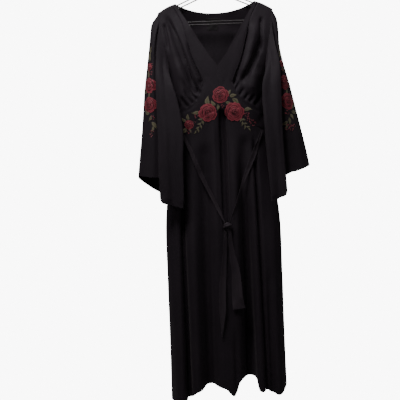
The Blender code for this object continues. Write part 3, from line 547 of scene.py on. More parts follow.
def piece(name, points, faces, finish, slot, sharp=50):
    """A mesh that rides on the body, with its faces turned outwards."""
    mesh = bpy.data.meshes.new(name)
    mesh.from_pydata(np.asarray(points, float).reshape(-1, 3).tolist(), [], faces)
    work = bmesh.new()
    work.from_mesh(mesh)
    bmesh.ops.recalc_face_normals(work, faces=work.faces)
    work.to_mesh(mesh)
    work.free()
    mesh.shade_smooth()
    mesh.set_sharp_from_angle(angle=math.radians(sharp))
    mesh.materials.append(finish)
    made = bpy.data.objects.new(name, mesh)
    bpy.context.scene.collection.objects.link(made)
    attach(made, "root")
    return made


def slab_faces(rows, columns, closed=False, base=0):
    """Faces of a sheet with two sides, from two grids of points one after the other."""
    spans = columns if closed else columns - 1

    def at(row, column, side):
        return base + (side * rows + row) * columns + column % columns

    faces = []
    for side in (0, 1):
        for r in range(rows - 1):
            for c in range(spans):
                faces.append((at(r, c, side), at(r, c + 1, side), at(r + 1, c + 1, side), at(r + 1, c, side)))
    for c in range(spans):
        for r in (0, rows - 1):
            faces.append((at(r, c, 0), at(r, c + 1, 0), at(r, c + 1, 1), at(r, c, 1)))
    if not closed:
        for r in range(rows - 1):
            for c in (0, columns - 1):
                faces.append((at(r, c, 0), at(r + 1, c, 0), at(r + 1, c, 1), at(r, c, 1)))
    return faces


def tube_faces(rings, sides, closed=False, base=0):
    """Faces of a tube of rings of points, capped at its ends unless it closes on itself."""
    faces = []
    for i in range(rings if closed else rings - 1):
        a, b = base + i * sides, base + (i + 1) % rings * sides
        for j in range(sides):
            faces.append((a + j, a + (j + 1) % sides, b + (j + 1) % sides, b + j))
    if not closed:
        for start in (base, base + (rings - 1) * sides):
            faces.append(tuple(range(start, start + sides)))
    return faces


def shell(name, points, normals, finish, slot="crepe", closed=False, thick=THIN):
    """A thin wall about a grid of points. A closed grid joins its last column to its first."""
    rows, columns = points.shape[:2]
    offset = normals * thick / 2
    corners = np.concatenate([(points + offset).reshape(-1, 3), (points - offset).reshape(-1, 3)])
    return piece(name, corners, slab_faces(rows, columns, closed), finish, slot)


def node_material(name):
    made = bpy.data.materials.new(name)
    made.use_nodes = True
    return made, made.node_tree, made.node_tree.nodes["Principled BSDF"]


def add_noise(tree, coordinates, scale, detail=3.0, rough=0.55):
    noise = tree.nodes.new("ShaderNodeTexNoise")
    noise.inputs["Scale"].default_value = scale
    noise.inputs["Detail"].default_value = detail
    noise.inputs["Roughness"].default_value = rough
    tree.links.new(coordinates, noise.inputs["Vector"])
    return noise.outputs["Fac"]


def add_ramp(tree, factor, low, high, start=0.3, end=0.7):
    ramp = tree.nodes.new("ShaderNodeValToRGB")
    ramp.color_ramp.elements[0].position = start
    ramp.color_ramp.elements[0].color = (*low, 1)
    ramp.color_ramp.elements[1].position = end
    ramp.color_ramp.elements[1].color = (*high, 1)
    tree.links.new(factor, ramp.inputs["Fac"])
    return ramp.outputs["Color"]


def add_range(tree, factor, low, high):
    spread = tree.nodes.new("ShaderNodeMapRange")
    spread.inputs["To Min"].default_value = low
    spread.inputs["To Max"].default_value = high
    tree.links.new(factor, spread.inputs["Value"])
    return spread.outputs["Result"]


def add_bump(tree, height, strength, distance, under=None):
    bump = tree.nodes.new("ShaderNodeBump")
    bump.inputs["Strength"].default_value = strength
    bump.inputs["Distance"].default_value = distance
    tree.links.new(height, bump.inputs["Height"])
    if under is not None:
        tree.links.new(under, bump.inputs["Normal"])
    return bump.outputs["Normal"]


def object_coordinates(tree, stretch=(1, 1, 1)):
    place = tree.nodes.new("ShaderNodeTexCoord")
    mapping = tree.nodes.new("ShaderNodeMapping")
    mapping.inputs["Scale"].default_value = stretch
    tree.links.new(place.outputs["Object"], mapping.inputs["Vector"])
    return mapping.outputs["Vector"]


def crepe_material(name, dark, light, roughness=(0.62, 0.80), sheen=0.03, grain=0.00022):
    """Black crepe: a fine pebbled grain, faint pressed creases and small patches of wear."""
    made, tree, shader = node_material(name)
    place = object_coordinates(tree)
    broad = add_noise(tree, place, 9.0, 4.0)
    tree.links.new(add_ramp(tree, broad, dark, light), shader.inputs["Base Color"])
    pebble = add_noise(tree, place, 1500.0, 2.0, 0.7)
    crinkle = add_noise(tree, object_coordinates(tree, (1.0, 1.0, 0.35)), 120.0, 3.0, 0.5)
    coarse = add_bump(tree, crinkle, 0.30, 0.0012)
    tree.links.new(add_bump(tree, pebble, 0.55, grain, coarse), shader.inputs["Normal"])
    tree.links.new(add_range(tree, add_noise(tree, place, 60.0), *roughness), shader.inputs["Roughness"])
    shader.inputs["Sheen Weight"].default_value = sheen
    shader.inputs["Sheen Roughness"].default_value = 0.45
    shader.inputs["Sheen Tint"].default_value = (1.0, 0.86, 0.93, 1)
    shader.inputs["Specular IOR Level"].default_value = 0.14
    return made


def thread_material(name, dark, light, scale=300.0):
    """Embroidery thread. Each piece's tone runs from 0 in its hollows to 1 at its rims: painted shade in the
    hollows and painted highlight at the rims, over the thread's own mottle and each piece's own tone.
    """
    made, tree, shader = node_material(name)
    place = object_coordinates(tree)
    tone = tree.nodes.new("ShaderNodeAttribute")
    tone.attribute_name = "tone"
    mottle = add_noise(tree, place, scale, 2.0)
    mix = tree.nodes.new("ShaderNodeMath")
    mix.operation = "MULTIPLY_ADD"
    mix.inputs[1].default_value = 0.5
    tree.links.new(mottle, mix.inputs[0])
    tree.links.new(tone.outputs["Fac"], mix.inputs[2])
    tree.links.new(add_ramp(tree, mix.outputs[0], dark, light, 0.2, 1.25), shader.inputs["Base Color"])
    tree.links.new(add_bump(tree, mottle, 0.5, 0.0003), shader.inputs["Normal"])
    tree.links.new(add_range(tree, mottle, 0.42, 0.62), shader.inputs["Roughness"])
    shader.inputs["Sheen Weight"].default_value = 0.04
    shader.inputs["Specular IOR Level"].default_value = 0.25
    return made


def smooth_material(name, dark, light, roughness, metallic=0.0, scale=45.0, stretch=(1, 1, 1), specular=0.5):
    """Plastic, steel or satin with faint marks of use."""
    made, tree, shader = node_material(name)
    place = object_coordinates(tree, stretch)
    marks = add_noise(tree, place, scale, 4.0, 0.6)
    tree.links.new(add_ramp(tree, marks, dark, light), shader.inputs["Base Color"])
    tree.links.new(add_range(tree, marks, *roughness), shader.inputs["Roughness"])
    fine = add_noise(tree, place, scale * 12, 2.0)
    tree.links.new(add_bump(tree, fine, 0.4, 0.00004), shader.inputs["Normal"])
    shader.inputs["Specular IOR Level"].default_value = specular
    shader.inputs["Metallic"].default_value = metallic
    return made


CREPE = crepe_material("crepe_black", (0.0106, 0.0074, 0.0104), (0.0140, 0.0100, 0.0136))
# The ties, tails and knot wear the same black crepe painted lighter: painted highlight for the light their
# rolled edges catch.
TIE_CREPE_PAINTED_LIGHT = crepe_material("crepe_black_tie_painted_light", (0.0180, 0.0132, 0.0172), (0.0250, 0.0185, 0.0232))
THREAD_BLACK = crepe_material(
    "thread_black", (0.020, 0.016, 0.019), (0.030, 0.025, 0.028), (0.45, 0.60), sheen=0.04, grain=0.0001
)
ROSE_THREAD = thread_material("thread_rose", (0.020, 0.001, 0.003), (0.250, 0.036, 0.052))
LEAF_THREAD = thread_material("thread_leaf", (0.020, 0.019, 0.010), (0.108, 0.095, 0.058))
BUD_THREAD = thread_material("thread_bud", (0.045, 0.008, 0.011), (0.150, 0.028, 0.038))
SATIN = smooth_material(
    "satin_black", (0.006, 0.005, 0.0055), (0.009, 0.007, 0.008), (0.40, 0.52),
    scale=160, stretch=(1, 1, 0.1), specular=0.24,
)
PLASTIC = smooth_material("plastic_black", (0.020, 0.016, 0.017), (0.030, 0.025, 0.026), (0.34, 0.48))
STEEL = smooth_material(
    "steel_wire", (0.33, 0.33, 0.34), (0.47, 0.47, 0.48), (0.22, 0.36),
    metallic=1.0, scale=90, stretch=(1, 1, 0.2),
)


# Camera, floor and light
VIEW_CENTRE = Vector((-0.0806, 0.0, -0.8753))
CAMERA_PLACE = Vector((-0.0806, -3.00, -0.765))
CAMERA_LENS = 74.3
CAMERA_ROLL = -2.21
FLOOR_Z = -1.72
FLOOR_REACH = 30.0
STAGE_GLOW = 9.0
FILL = 0.07
LAMPS = (
    ("key", (-0.6, -1.25, 1.35), (0.0, 0.0, -0.30), 0.8, 58),
    ("left", (-1.5, -0.9, 1.1), (0.0, 0.0, -0.30), 0.6, 13),
    ("right", (1.5, -1.2, 1.1), (0.0, 0.0, -0.30), 0.6, 10),
    ("back", (0.6, 2.2, 0.6), (0.0, 0.0, -0.7), 1.6, 22),
)


def set_camera():
    data = bpy.data.cameras.new("camera")
    data.lens = CAMERA_LENS
    camera = bpy.data.objects.new("camera", data)
    bpy.context.scene.collection.objects.link(camera)
    camera.location = CAMERA_PLACE
    aim = (VIEW_CENTRE - CAMERA_PLACE).to_track_quat("-Z", "Y")
    camera.rotation_mode = "QUATERNION"
    camera.rotation_quaternion = aim @ Quaternion((0, 0, 1), math.radians(CAMERA_ROLL))
    bpy.context.scene.camera = camera


def add_light(name, place, target, size, power, colour=(1, 1, 1)):
    data = bpy.data.lights.new(name, "AREA")
    data.size = size
    data.energy = power
    data.color = colour
    light = bpy.data.objects.new(name, data)
    bpy.context.scene.collection.objects.link(light)
    light.location = place
    light.rotation_mode = "QUATERNION"
    light.rotation_quaternion = (Vector(target) - Vector(place)).to_track_quat("-Z", "Y")


def pale_stage(tree, output, shader, glow):
    """Shows a bright tone to the eye and keeps its bounce off the dress."""
    light_path = tree.nodes.new("ShaderNodeLightPath")
    mix = tree.nodes.new("ShaderNodeMixShader")
    tree.links.new(light_path.outputs["Is Camera Ray"], mix.inputs["Fac"])
    tree.links.new(shader.outputs[0], mix.inputs[1])
    tree.links.new(glow.outputs[0], mix.inputs[2])
    tree.links.new(mix.outputs[0], output.inputs["Surface"])


def set_stage():
    mesh = bpy.data.meshes.new("floor")
    corners = [(x * FLOOR_REACH, y * FLOOR_REACH, FLOOR_Z) for x, y in ((-1, -1), (1, -1), (1, 1), (-1, 1))]
    mesh.from_pydata(corners, [], [(0, 1, 2, 3)])
    pale, tree, shader = node_material("floor_pale")
    shader.inputs["Base Color"].default_value = (0.25, 0.25, 0.25, 1)
    shader.inputs["Roughness"].default_value = 0.9
    glow = tree.nodes.new("ShaderNodeEmission")
    glow.inputs["Strength"].default_value = STAGE_GLOW
    pale_stage(tree, tree.nodes["Material Output"], shader, glow)
    mesh.materials.append(pale)
    floor = bpy.data.objects.new("floor", mesh)
    bpy.context.scene.collection.objects.link(floor)
    world = bpy.data.worlds.new("world")
    bpy.context.scene.world = world
    world.use_nodes = True
    tree = world.node_tree
    fill = tree.nodes["Background"]
    fill.inputs["Color"].default_value = (1.0, 0.98, 0.99, 1)
    fill.inputs["Strength"].default_value = FILL
    glow = tree.nodes.new("ShaderNodeBackground")
    glow.inputs["Color"].default_value = (1, 1, 1, 1)
    glow.inputs["Strength"].default_value = STAGE_GLOW
    pale_stage(tree, tree.nodes["World Output"], fill, glow)
    for lamp in LAMPS:
        add_light(*lamp)


set_camera()
set_stage()

# Creases too fine for the solids. Bent ones: how deep they go in, the width of one side, how much of each end
# fades, then the places they run through, as x and depth. A negative depth stands out.
LEFT_CUP = (
    (
        0.0150, 0.0078, 0.25, 0.06,
        (-0.174, 0.038, -0.158, 0.090, -0.138, 0.145, -0.115, 0.216, -0.097, 0.281, -0.072, 0.336),
    ),
    (-0.006, 0.011, 0.40, 0.15, (-0.140, 0.095, -0.118, 0.150, -0.096, 0.222, -0.078, 0.272, -0.064, 0.304)),
    (0.0105, 0.0068, 0.35, 0.06, (-0.107, 0.125, -0.086, 0.204, -0.066, 0.262, -0.052, 0.296)),
    (-0.0050, 0.0160, 0.40, 0.30, (-0.166, 0.120, -0.148, 0.190, -0.132, 0.262, -0.116, 0.315)),
    (0.0085, 0.0070, 0.15, 0.45, (-0.185, 0.066, -0.176, 0.133, -0.168, 0.190)),
    (0.0080, 0.0050, 0.45, 0.06, (-0.070, 0.276, -0.052, 0.312)),
    (0.0085, 0.0050, 0.45, 0.06, (-0.088, 0.300, -0.062, 0.336)),
    (0.0085, 0.0052, 0.50, 0.06, (-0.106, 0.300, -0.092, 0.334, -0.075, 0.354)),
    (0.0085, 0.0058, 0.50, 0.06, (-0.124, 0.306, -0.110, 0.342, -0.092, 0.366)),
    (0.0055, 0.0060, 0.50, 0.06, (-0.142, 0.330, -0.126, 0.358, -0.110, 0.378)),
    (0.0045, 0.0070, 0.50, 0.10, (-0.158, 0.350, -0.140, 0.382)),
)
RIGHT_CUP = (
    (0.0110, 0.0080, 0.30, 0.05, (0.124, 0.060, 0.104, 0.144, 0.084, 0.211, 0.064, 0.274, 0.050, 0.305)),
    (-0.0075, 0.0120, 0.35, 0.15, (0.150, 0.060, 0.131, 0.145, 0.107, 0.216, 0.080, 0.276)),
    (0.0100, 0.0090, 0.40, 0.10, (0.166, 0.123, 0.139, 0.199, 0.106, 0.262, 0.078, 0.300)),
    (0.0100, 0.0070, 0.15, 0.25, (0.165, 0.056, 0.160, 0.123, 0.157, 0.200)),
    (-0.0085, 0.0170, 0.35, 0.30, (0.140, 0.240, 0.126, 0.290, 0.108, 0.340)),
    (0.0055, 0.0048, 0.45, 0.06, (0.066, 0.280, 0.050, 0.308)),
    (0.0060, 0.0048, 0.45, 0.06, (0.078, 0.290, 0.058, 0.324)),
    (0.0060, 0.0052, 0.45, 0.06, (0.094, 0.312, 0.074, 0.342)),
    (0.0055, 0.0058, 0.45, 0.06, (0.112, 0.332, 0.090, 0.358)),
    (0.0065, 0.0062, 0.45, 0.06, (0.132, 0.338, 0.108, 0.368)),
    (0.0055, 0.0070, 0.45, 0.10, (0.154, 0.330, 0.146, 0.358, 0.126, 0.380)),
)
# Straight ones, from one end to the other
BAND_CREASES = table(
    "x0 depth0 x1 depth1 deep width fade0 fade1",
    (-0.100, 0.080, -0.040, 0.190, 0.0010, 0.0080, 0.50, 0.50),
    (0.100, 0.080, 0.044, 0.190, 0.0010, 0.0080, 0.50, 0.50),
    (-0.048, 0.250, -0.012, 0.310, 0.0010, 0.0060, 0.50, 0.50),
    (0.030, 0.262, 0.012, 0.330, 0.0010, 0.0060, 0.50, 0.50),
    (0.163, 0.395, 0.131, 0.470, 0.0060, 0.0060, 0.30, 0.10),
    (0.145, 0.400, 0.150, 0.470, -0.0020, 0.0080, 0.40, 0.20),
)
SKIRT_CREASES = table(
    "x0 depth0 x1 depth1 deep width fade0 fade1",
    (-0.146, 0.700, -0.143, 1.430, 0.0080, 0.0060, 0.15, 0.01),
    (-0.108, 0.700, -0.112, 1.430, -0.0050, 0.0130, 0.30, 0.01),
    (-0.056, 0.440, -0.070, 1.430, 0.0090, 0.0165, 0.20, 0.01),
    (-0.022, 0.400, -0.024, 1.000, -0.0050, 0.0120, 0.15, 0.50),
    (0.003, 0.380, 0.004, 0.920, 0.0085, 0.0044, 0.03, 0.45),
    (0.016, 0.385, 0.017, 0.960, 0.0125, 0.0080, 0.05, 0.40),
    (0.044, 0.480, 0.050, 1.430, -0.0040, 0.0110, 0.20, 0.01),
    (0.072, 0.470, 0.088, 1.430, 0.0100, 0.0130, 0.20, 0.01),
    (0.121, 0.480, 0.136, 1.430, 0.0070, 0.0042, 0.10, 0.01),
    (0.112, 0.520, 0.124, 1.430, -0.0030, 0.0080, 0.20, 0.01),
    (0.026, 1.150, 0.029, 1.430, 0.0040, 0.0070, 0.40, 0.01),
    (0.154, 0.920, 0.156, 1.430, 0.0050, 0.0090, 0.40, 0.01),
    (-0.172, 0.760, -0.174, 1.430, 0.0040, 0.0100, 0.30, 0.01),
)
BACK_CREASES = table(
    "x0 depth0 x1 depth1 deep width fade0 fade1",
    (-0.100, 0.520, -0.118, 1.430, 0.0050, 0.0080, 0.30, 0.01),
    (-0.040, 0.480, -0.048, 1.430, 0.0040, 0.0070, 0.30, 0.01),
    (0.026, 0.560, 0.020, 1.430, 0.0050, 0.0060, 0.30, 0.01),
    (0.076, 0.500, 0.082, 1.430, 0.0045, 0.0080, 0.30, 0.01),
    (0.136, 0.620, 0.150, 1.430, 0.0045, 0.0070, 0.30, 0.01),
    (-0.160, 0.600, -0.172, 1.430, 0.0040, 0.0070, 0.30, 0.01),
    (-0.150, 0.210, -0.060, 0.300, 0.0030, 0.0110, 0.50, 0.50),
    (0.150, 0.205, 0.070, 0.310, 0.0030, 0.0110, 0.50, 0.50),
    (-0.130, 0.380, -0.040, 0.430, 0.0024, 0.0110, 0.40, 0.50),
    (0.120, 0.370, 0.030, 0.440, 0.0024, 0.0110, 0.40, 0.50),
    (-0.020, 0.120, -0.012, 0.330, 0.0018, 0.0120, 0.50, 0.50),
)
# Across is the place on the ring round the sleeve, in rows of the armhole; widths are in the same rows
SLEEVE_CREASES = {
    -1: table(
        "x0 depth0 x1 depth1 deep width fade0 fade1",
        (2.25, 0.050, 2.2, 0.700, 0.0115, 0.20, 0.05, 0.01),
        (4.2, 0.140, 4.6, 0.700, 0.0026, 0.40, 0.40, 0.01),
        (6.4, 0.120, 6.0, 0.560, 0.0022, 0.60, 0.40, 0.50),
        (7.7, 0.240, 7.9, 0.720, -0.0030, 0.60, 0.40, 0.01),
        (5.2, 0.380, 5.5, 0.710, -0.0030, 0.50, 0.40, 0.01),
        (1.7, 0.300, 1.9, 0.640, 0.0030, 0.50, 0.40, 0.01),
        (0.8, 0.380, 0.7, 0.640, -0.0025, 0.35, 0.40, 0.01),
        (14.0, 0.160, 13.4, 0.700, 0.0040, 0.70, 0.30, 0.01),
        (17.5, 0.200, 17.0, 0.640, -0.0040, 0.80, 0.40, 0.01),
        (11.6, 0.260, 11.2, 0.700, 0.0030, 0.50, 0.40, 0.01),
    ),
    1: table(
        "x0 depth0 x1 depth1 deep width fade0 fade1",
        (2.25, 0.050, 2.2, 0.690, 0.0105, 0.20, 0.05, 0.01),
        (4.3, 0.200, 4.5, 0.700, 0.0022, 0.40, 0.40, 0.01),
        (6.2, 0.100, 6.6, 0.500, 0.0026, 0.60, 0.40, 0.50),
        (7.4, 0.300, 7.2, 0.710, -0.0026, 0.60, 0.40, 0.01),
        (8.3, 0.200, 8.2, 0.710, 0.0024, 0.40, 0.40, 0.01),
        (1.6, 0.300, 1.5, 0.620, 0.0034, 0.40, 0.40, 0.01),
        (0.9, 0.420, 1.0, 0.620, -0.0030, 0.30, 0.40, 0.01),
        (13.6, 0.160, 14.2, 0.690, 0.0040, 0.70, 0.30, 0.01),
        (17.0, 0.200, 17.6, 0.640, -0.0040, 0.80, 0.40, 0.01),
        (11.4, 0.260, 11.8, 0.690, 0.0030, 0.50, 0.40, 0.01),
    ),
}


def crease_depth(creases, x, depth, unit_scale=1.0):
    """How far the straight creases push the cloth in. Their widths run square to them."""
    total = np.zeros(np.broadcast(x, depth).shape)
    for x0, d0, x1, d1, deep, width, fade0, fade1 in zip(*creases.values()):
        run_x, run_d = (x1 - x0) * unit_scale, d1 - d0
        length = math.hypot(run_x, run_d)
        from_x, from_d = (x - x0) * unit_scale, depth - d0
        along = (from_x * run_x + from_d * run_d) / length**2
        off = (from_x * run_d - from_d * run_x) / length / (width * unit_scale)
        strength = smooth(along / fade0) * smooth((1 - along) / fade1)
        total += deep * strength * np.exp(-(off**2))
    return total


def bent_depth(creases, x, depth):
    """The same for creases that run through several places."""
    total = np.zeros(np.broadcast(x, depth).shape)
    for deep, width, fade0, fade1, places in creases:
        path = np.array(places).reshape(-1, 2)
        steps = np.linalg.norm(np.diff(path, axis=0), axis=1)
        reach = np.concatenate([[0], np.cumsum(steps)]) / steps.sum()
        nearest = np.full(total.shape, 9.0)
        along = np.zeros(total.shape)
        for k, step in enumerate(steps):
            run = (path[k + 1] - path[k]) / step
            f = np.clip(((x - path[k, 0]) * run[0] + (depth - path[k, 1]) * run[1]) / step, 0, 1)
            off = np.hypot(x - path[k, 0] - f * step * run[0], depth - path[k, 1] - f * step * run[1])
            along = np.where(off < nearest, reach[k] + f * (reach[k + 1] - reach[k]), along)
            nearest = np.minimum(nearest, off)
        strength = smooth(along / fade0) * smooth((1 - along) / fade1)
        total += deep * strength * np.exp(-((nearest / width) ** 2))
    return total


PHASES = RNG.uniform(0, 2 * math.pi, 24)


def wander(x, depth, amount):
    """Slow unevenness of cloth that has hung, stronger across than down."""
    total = np.zeros(np.broadcast(x, depth).shape)
    for k in range(8):
        across = 2 * math.pi / (0.042 + 0.011 * k)
        down = 2 * math.pi / (0.21 + 0.06 * k)
        total += np.sin(across * x + PHASES[k] + 1.4 * np.sin(down * depth + PHASES[8 + k]))
    return amount * total / 8


def edge_mask(shape, top=0, bottom=0, left=0, right=0):
    """1 inside a grid, falling to 0 over this many rows or columns at the named edges."""
    rows = np.arange(shape[0])[:, None] + 0 * np.arange(shape[1])
    columns = np.arange(shape[1])[None] + 0 * rows
    mask = np.ones(shape)
    distances = (rows, shape[0] - 1 - rows, columns, shape[1] - 1 - columns)
    for size, away in zip((top, bottom, left, right), distances):
        if size:
            mask = mask * smooth(away / size)
    return mask


SEAM_DITCH = 0.0016
SLEEVE_ROW = 0.02  # metres that one place round a sleeve stands for in its creases
ARMHOLE_FADE = 0.05  # over which a sleeve's creases begin


def seam_ditch(shape, **edges):
    """Cloth rolls down into a seam over its last few columns."""
    return SEAM_DITCH * (1 - edge_mask(shape, **edges))


def body_shell(node, grid, creases, uneven, edges, ditch):
    """A piece of the body's cloth with its creases, rolled down into its seams."""
    angle, depth = grid[..., 0], grid[..., 1]
    points = body(angle, depth)
    normals = outward(angle, depth)
    mask = edge_mask(angle.shape, **edges)
    bent = isinstance(creases, tuple)
    push = (bent_depth if bent else crease_depth)(creases, points[..., 0], depth)
    push = (push + wander(points[..., 0], depth, uneven)) * mask
    push += seam_ditch(angle.shape, **ditch)
    points = points - normals * push[..., None]
    tilt = np.cross(np.gradient(points, axis=0), np.gradient(points, axis=1))
    tilt *= np.sign((tilt * normals).sum(axis=-1, keepdims=True))
    blend = mask[..., None]
    normals = unit(unit(tilt) * blend + normals * (1 - blend))
    CLOTH[node] = shell("cloth_" + node, points, normals, CREPE)
    GRIDS[node] = (points, normals)


def sleeve_shell(node, side):
    """A sleeve's cloth with its creases, which begin a little below the armhole."""
    points, normals, place, depth = sleeve_grid(side)
    ring = np.broadcast_to(place[None], depth.shape)
    turn = ring / (2 * (len(ARMHOLE["depth"]) - 1)) * 2 * math.pi
    push = crease_depth(SLEEVE_CREASES[side], ring, depth, SLEEVE_ROW)
    push += wander(np.sin(turn) * 0.11 + np.cos(turn) * 0.07, depth, 0.0012)
    push *= smooth((depth - depth[:1]) / ARMHOLE_FADE)
    points = points - normals * push[..., None]
    across = np.roll(points, -1, axis=1) - np.roll(points, 1, axis=1)
    fresh = unit(np.cross(across, np.gradient(points, axis=0))) * side
    normals[1:] = fresh[1:]
    CLOTH[node] = shell("cloth_" + node, points, normals, CREPE, closed=True)
    GRIDS[node] = (points, normals)


BAND_EDGES = dict(top=6, left=3, right=3)
CUP_EDGES = dict(top=8, left=3, right=5, bottom=3)
BACK_EDGES = dict(top=6, bottom=5, left=4, right=4)
SKIRT_EDGES = dict(top=5, left=6, right=6)
CLOTH, GRIDS = {}, {}
for side, word in ((-1, "left"), (1, "right")):
    creases = LEFT_CUP if side < 0 else RIGHT_CUP
    body_shell("band_" + word, band_grid(side), BAND_CREASES, 0.0006, BAND_EDGES, dict(right=3))
    body_shell("cup_" + word, cup_grid(side), creases, 0.0014, CUP_EDGES, dict(left=4, bottom=4))
    sleeve_shell("sleeve_" + word, side)
body_shell("back_bodice", back_grid(), BACK_CREASES, 0.0014, BACK_EDGES, dict(bottom=3))
body_shell("skirt_front", skirt_front_grid(), SKIRT_CREASES, 0.0012, SKIRT_EDGES, dict(top=2))
body_shell("skirt_back", skirt_back_grid(), BACK_CREASES, 0.0012, SKIRT_EDGES, dict(top=2))
for node, made in CLOTH.items():
    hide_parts(node)


# Embroidery
STRAIGHT = (0, 1, 0)
SLEEVE_RAY = 0.5  # sideways part of the line along which the sleeves' flowers are laid
SLEEVE_PLANE = -0.030
SLEEVE_REACH = 0.330  # past a sleeve's outer edge
MIDRIFF_KEEP = (-0.155, 0.155)  # x between the side seams
ROSES = table(
    "x depth radius turn",
    (0.006, 0.339, 0.030, 0.3),
    (-0.041, 0.398, 0.0325, 1.4),
    (0.054, 0.399, 0.0345, 2.2),
    (-0.110, 0.439, 0.0165, 0.9),
)
SLEEVE_FLOWERS = {
    -1: table(
        "x depth radius turn",
        (0.246, 0.226, 0.014, 0.5),
        (0.242, 0.293, 0.028, 1.7),
        (0.243, 0.362, 0.030, 2.9),
    ),
    1: table(
        "x depth radius turn",
        (0.230, 0.232, 0.014, 0.5),
        (0.232, 0.300, 0.027, 1.7),
        (0.242, 0.367, 0.030, 2.9),
    ),
}
# Heading: 0 points to the viewer's right and 90 up
LEAVES = table(
    "x depth heading length width",
    (-0.040, 0.372, 84, 0.034, 0.020),
    (-0.014, 0.374, 128, 0.024, 0.014),
    (-0.004, 0.372, 262, 0.022, 0.011),
    (-0.074, 0.395, 186, 0.026, 0.015),
    (0.036, 0.336, 60, 0.018, 0.010),
    (0.040, 0.345, 8, 0.026, 0.014),
    (0.050, 0.353, 308, 0.032, 0.017),
    (0.040, 0.368, 160, 0.020, 0.012),
    (0.090, 0.394, 2, 0.028, 0.015),
    (-0.111, 0.421, 92, 0.022, 0.012),
    (-0.121, 0.426, 134, 0.020, 0.011),
    (-0.120, 0.451, 222, 0.026, 0.016),
    (-0.108, 0.456, 290, 0.014, 0.007),
)
SPRAYS = table(
    "x0 depth0 x1 depth1 bend leaves length",
    (-0.060, 0.414, -0.089, 0.464, 0.006, 7, 0.016),
    (0.075, 0.416, 0.106, 0.462, -0.006, 7, 0.016),
)
BUDS = table(
    "x depth count spread",
    (-0.083, 0.409, 4, 0.008),
    (-0.091, 0.431, 3, 0.006),
    (0.098, 0.412, 7, 0.009),
    (0.105, 0.430, 7, 0.008),
    (0.119, 0.440, 13, 0.011),
    (0.012, 0.378, 4, 0.006),
    (-0.110, 0.463, 4, 0.007),
)
SLEEVE_LEAVES = {
    -1: table(
        "x depth heading length width",
        (0.242, 0.203, 94, 0.034, 0.015),
        (0.240, 0.176, 80, 0.026, 0.011),
        (0.246, 0.262, 100, 0.028, 0.012),
        (0.256, 0.310, 200, 0.024, 0.013),
        (0.243, 0.319, 250, 0.020, 0.011),
        (0.246, 0.395, 140, 0.030, 0.015),
        (0.236, 0.402, 236, 0.024, 0.012),
        (0.233, 0.425, 300, 0.028, 0.014),
        (0.229, 0.440, 250, 0.022, 0.010),
    ),
    1: table(
        "x depth heading length width",
        (0.224, 0.208, 86, 0.030, 0.012),
        (0.221, 0.186, 95, 0.024, 0.010),
        (0.237, 0.262, 100, 0.030, 0.012),
        (0.252, 0.315, 14, 0.026, 0.014),
        (0.243, 0.326, 240, 0.020, 0.011),
        (0.262, 0.392, 42, 0.026, 0.014),
        (0.257, 0.406, 340, 0.028, 0.014),
        (0.250, 0.415, 300, 0.022, 0.012),
        (0.242, 0.428, 270, 0.026, 0.013),
        (0.233, 0.440, 205, 0.028, 0.013),
        (0.229, 0.452, 250, 0.020, 0.008),
    ),
}
SLEEVE_BUDS = {
    -1: table(
        "x depth count spread",
        (0.233, 0.222, 5, 0.008),
        (0.236, 0.247, 5, 0.008),
        (0.231, 0.409, 5, 0.008),
        (0.233, 0.457, 4, 0.007),
        (0.236, 0.471, 3, 0.007),
    ),
    1: table(
        "x depth count spread",
        (0.228, 0.254, 4, 0.007),
        (0.236, 0.408, 6, 0.009),
        (0.232, 0.461, 8, 0.010),
        (0.250, 0.462, 9, 0.011),
        (0.262, 0.456, 5, 0.007),
    ),
}
PETAL_RINGS = (
    # petals, inner and outer share of the radius, half angle, height of the rim, tone
    (6, 0.42, 1.02, 0.66, 0.0010, 0.50),
    (5, 0.30, 0.80, 0.76, 0.0018, 0.40),
    (4, 0.18, 0.58, 0.92, 0.0026, 0.52),
    (3, 0.08, 0.38, 1.10, 0.0032, 0.38),
    (2, 0.00, 0.20, 1.60, 0.0037, 0.50),
)
THREAD_RISE = 0.00024
UNDER_TONE = 0.1  # of the thread's underside, which doesn't show
SEAM_BRIDGE = 0.009


def cloth_tree(*names):
    """The outer faces of these cloths, for laying embroidery on them."""
    points, faces = [], []
    for name in names:
        mesh = CLOTH[name].data
        offset = len(points)
        points += [v.co.copy() for v in mesh.vertices]
        faces += [tuple(i + offset for i in p.vertices) for p in mesh.polygons]
    return BVHTree.FromPolygons(points, faces)


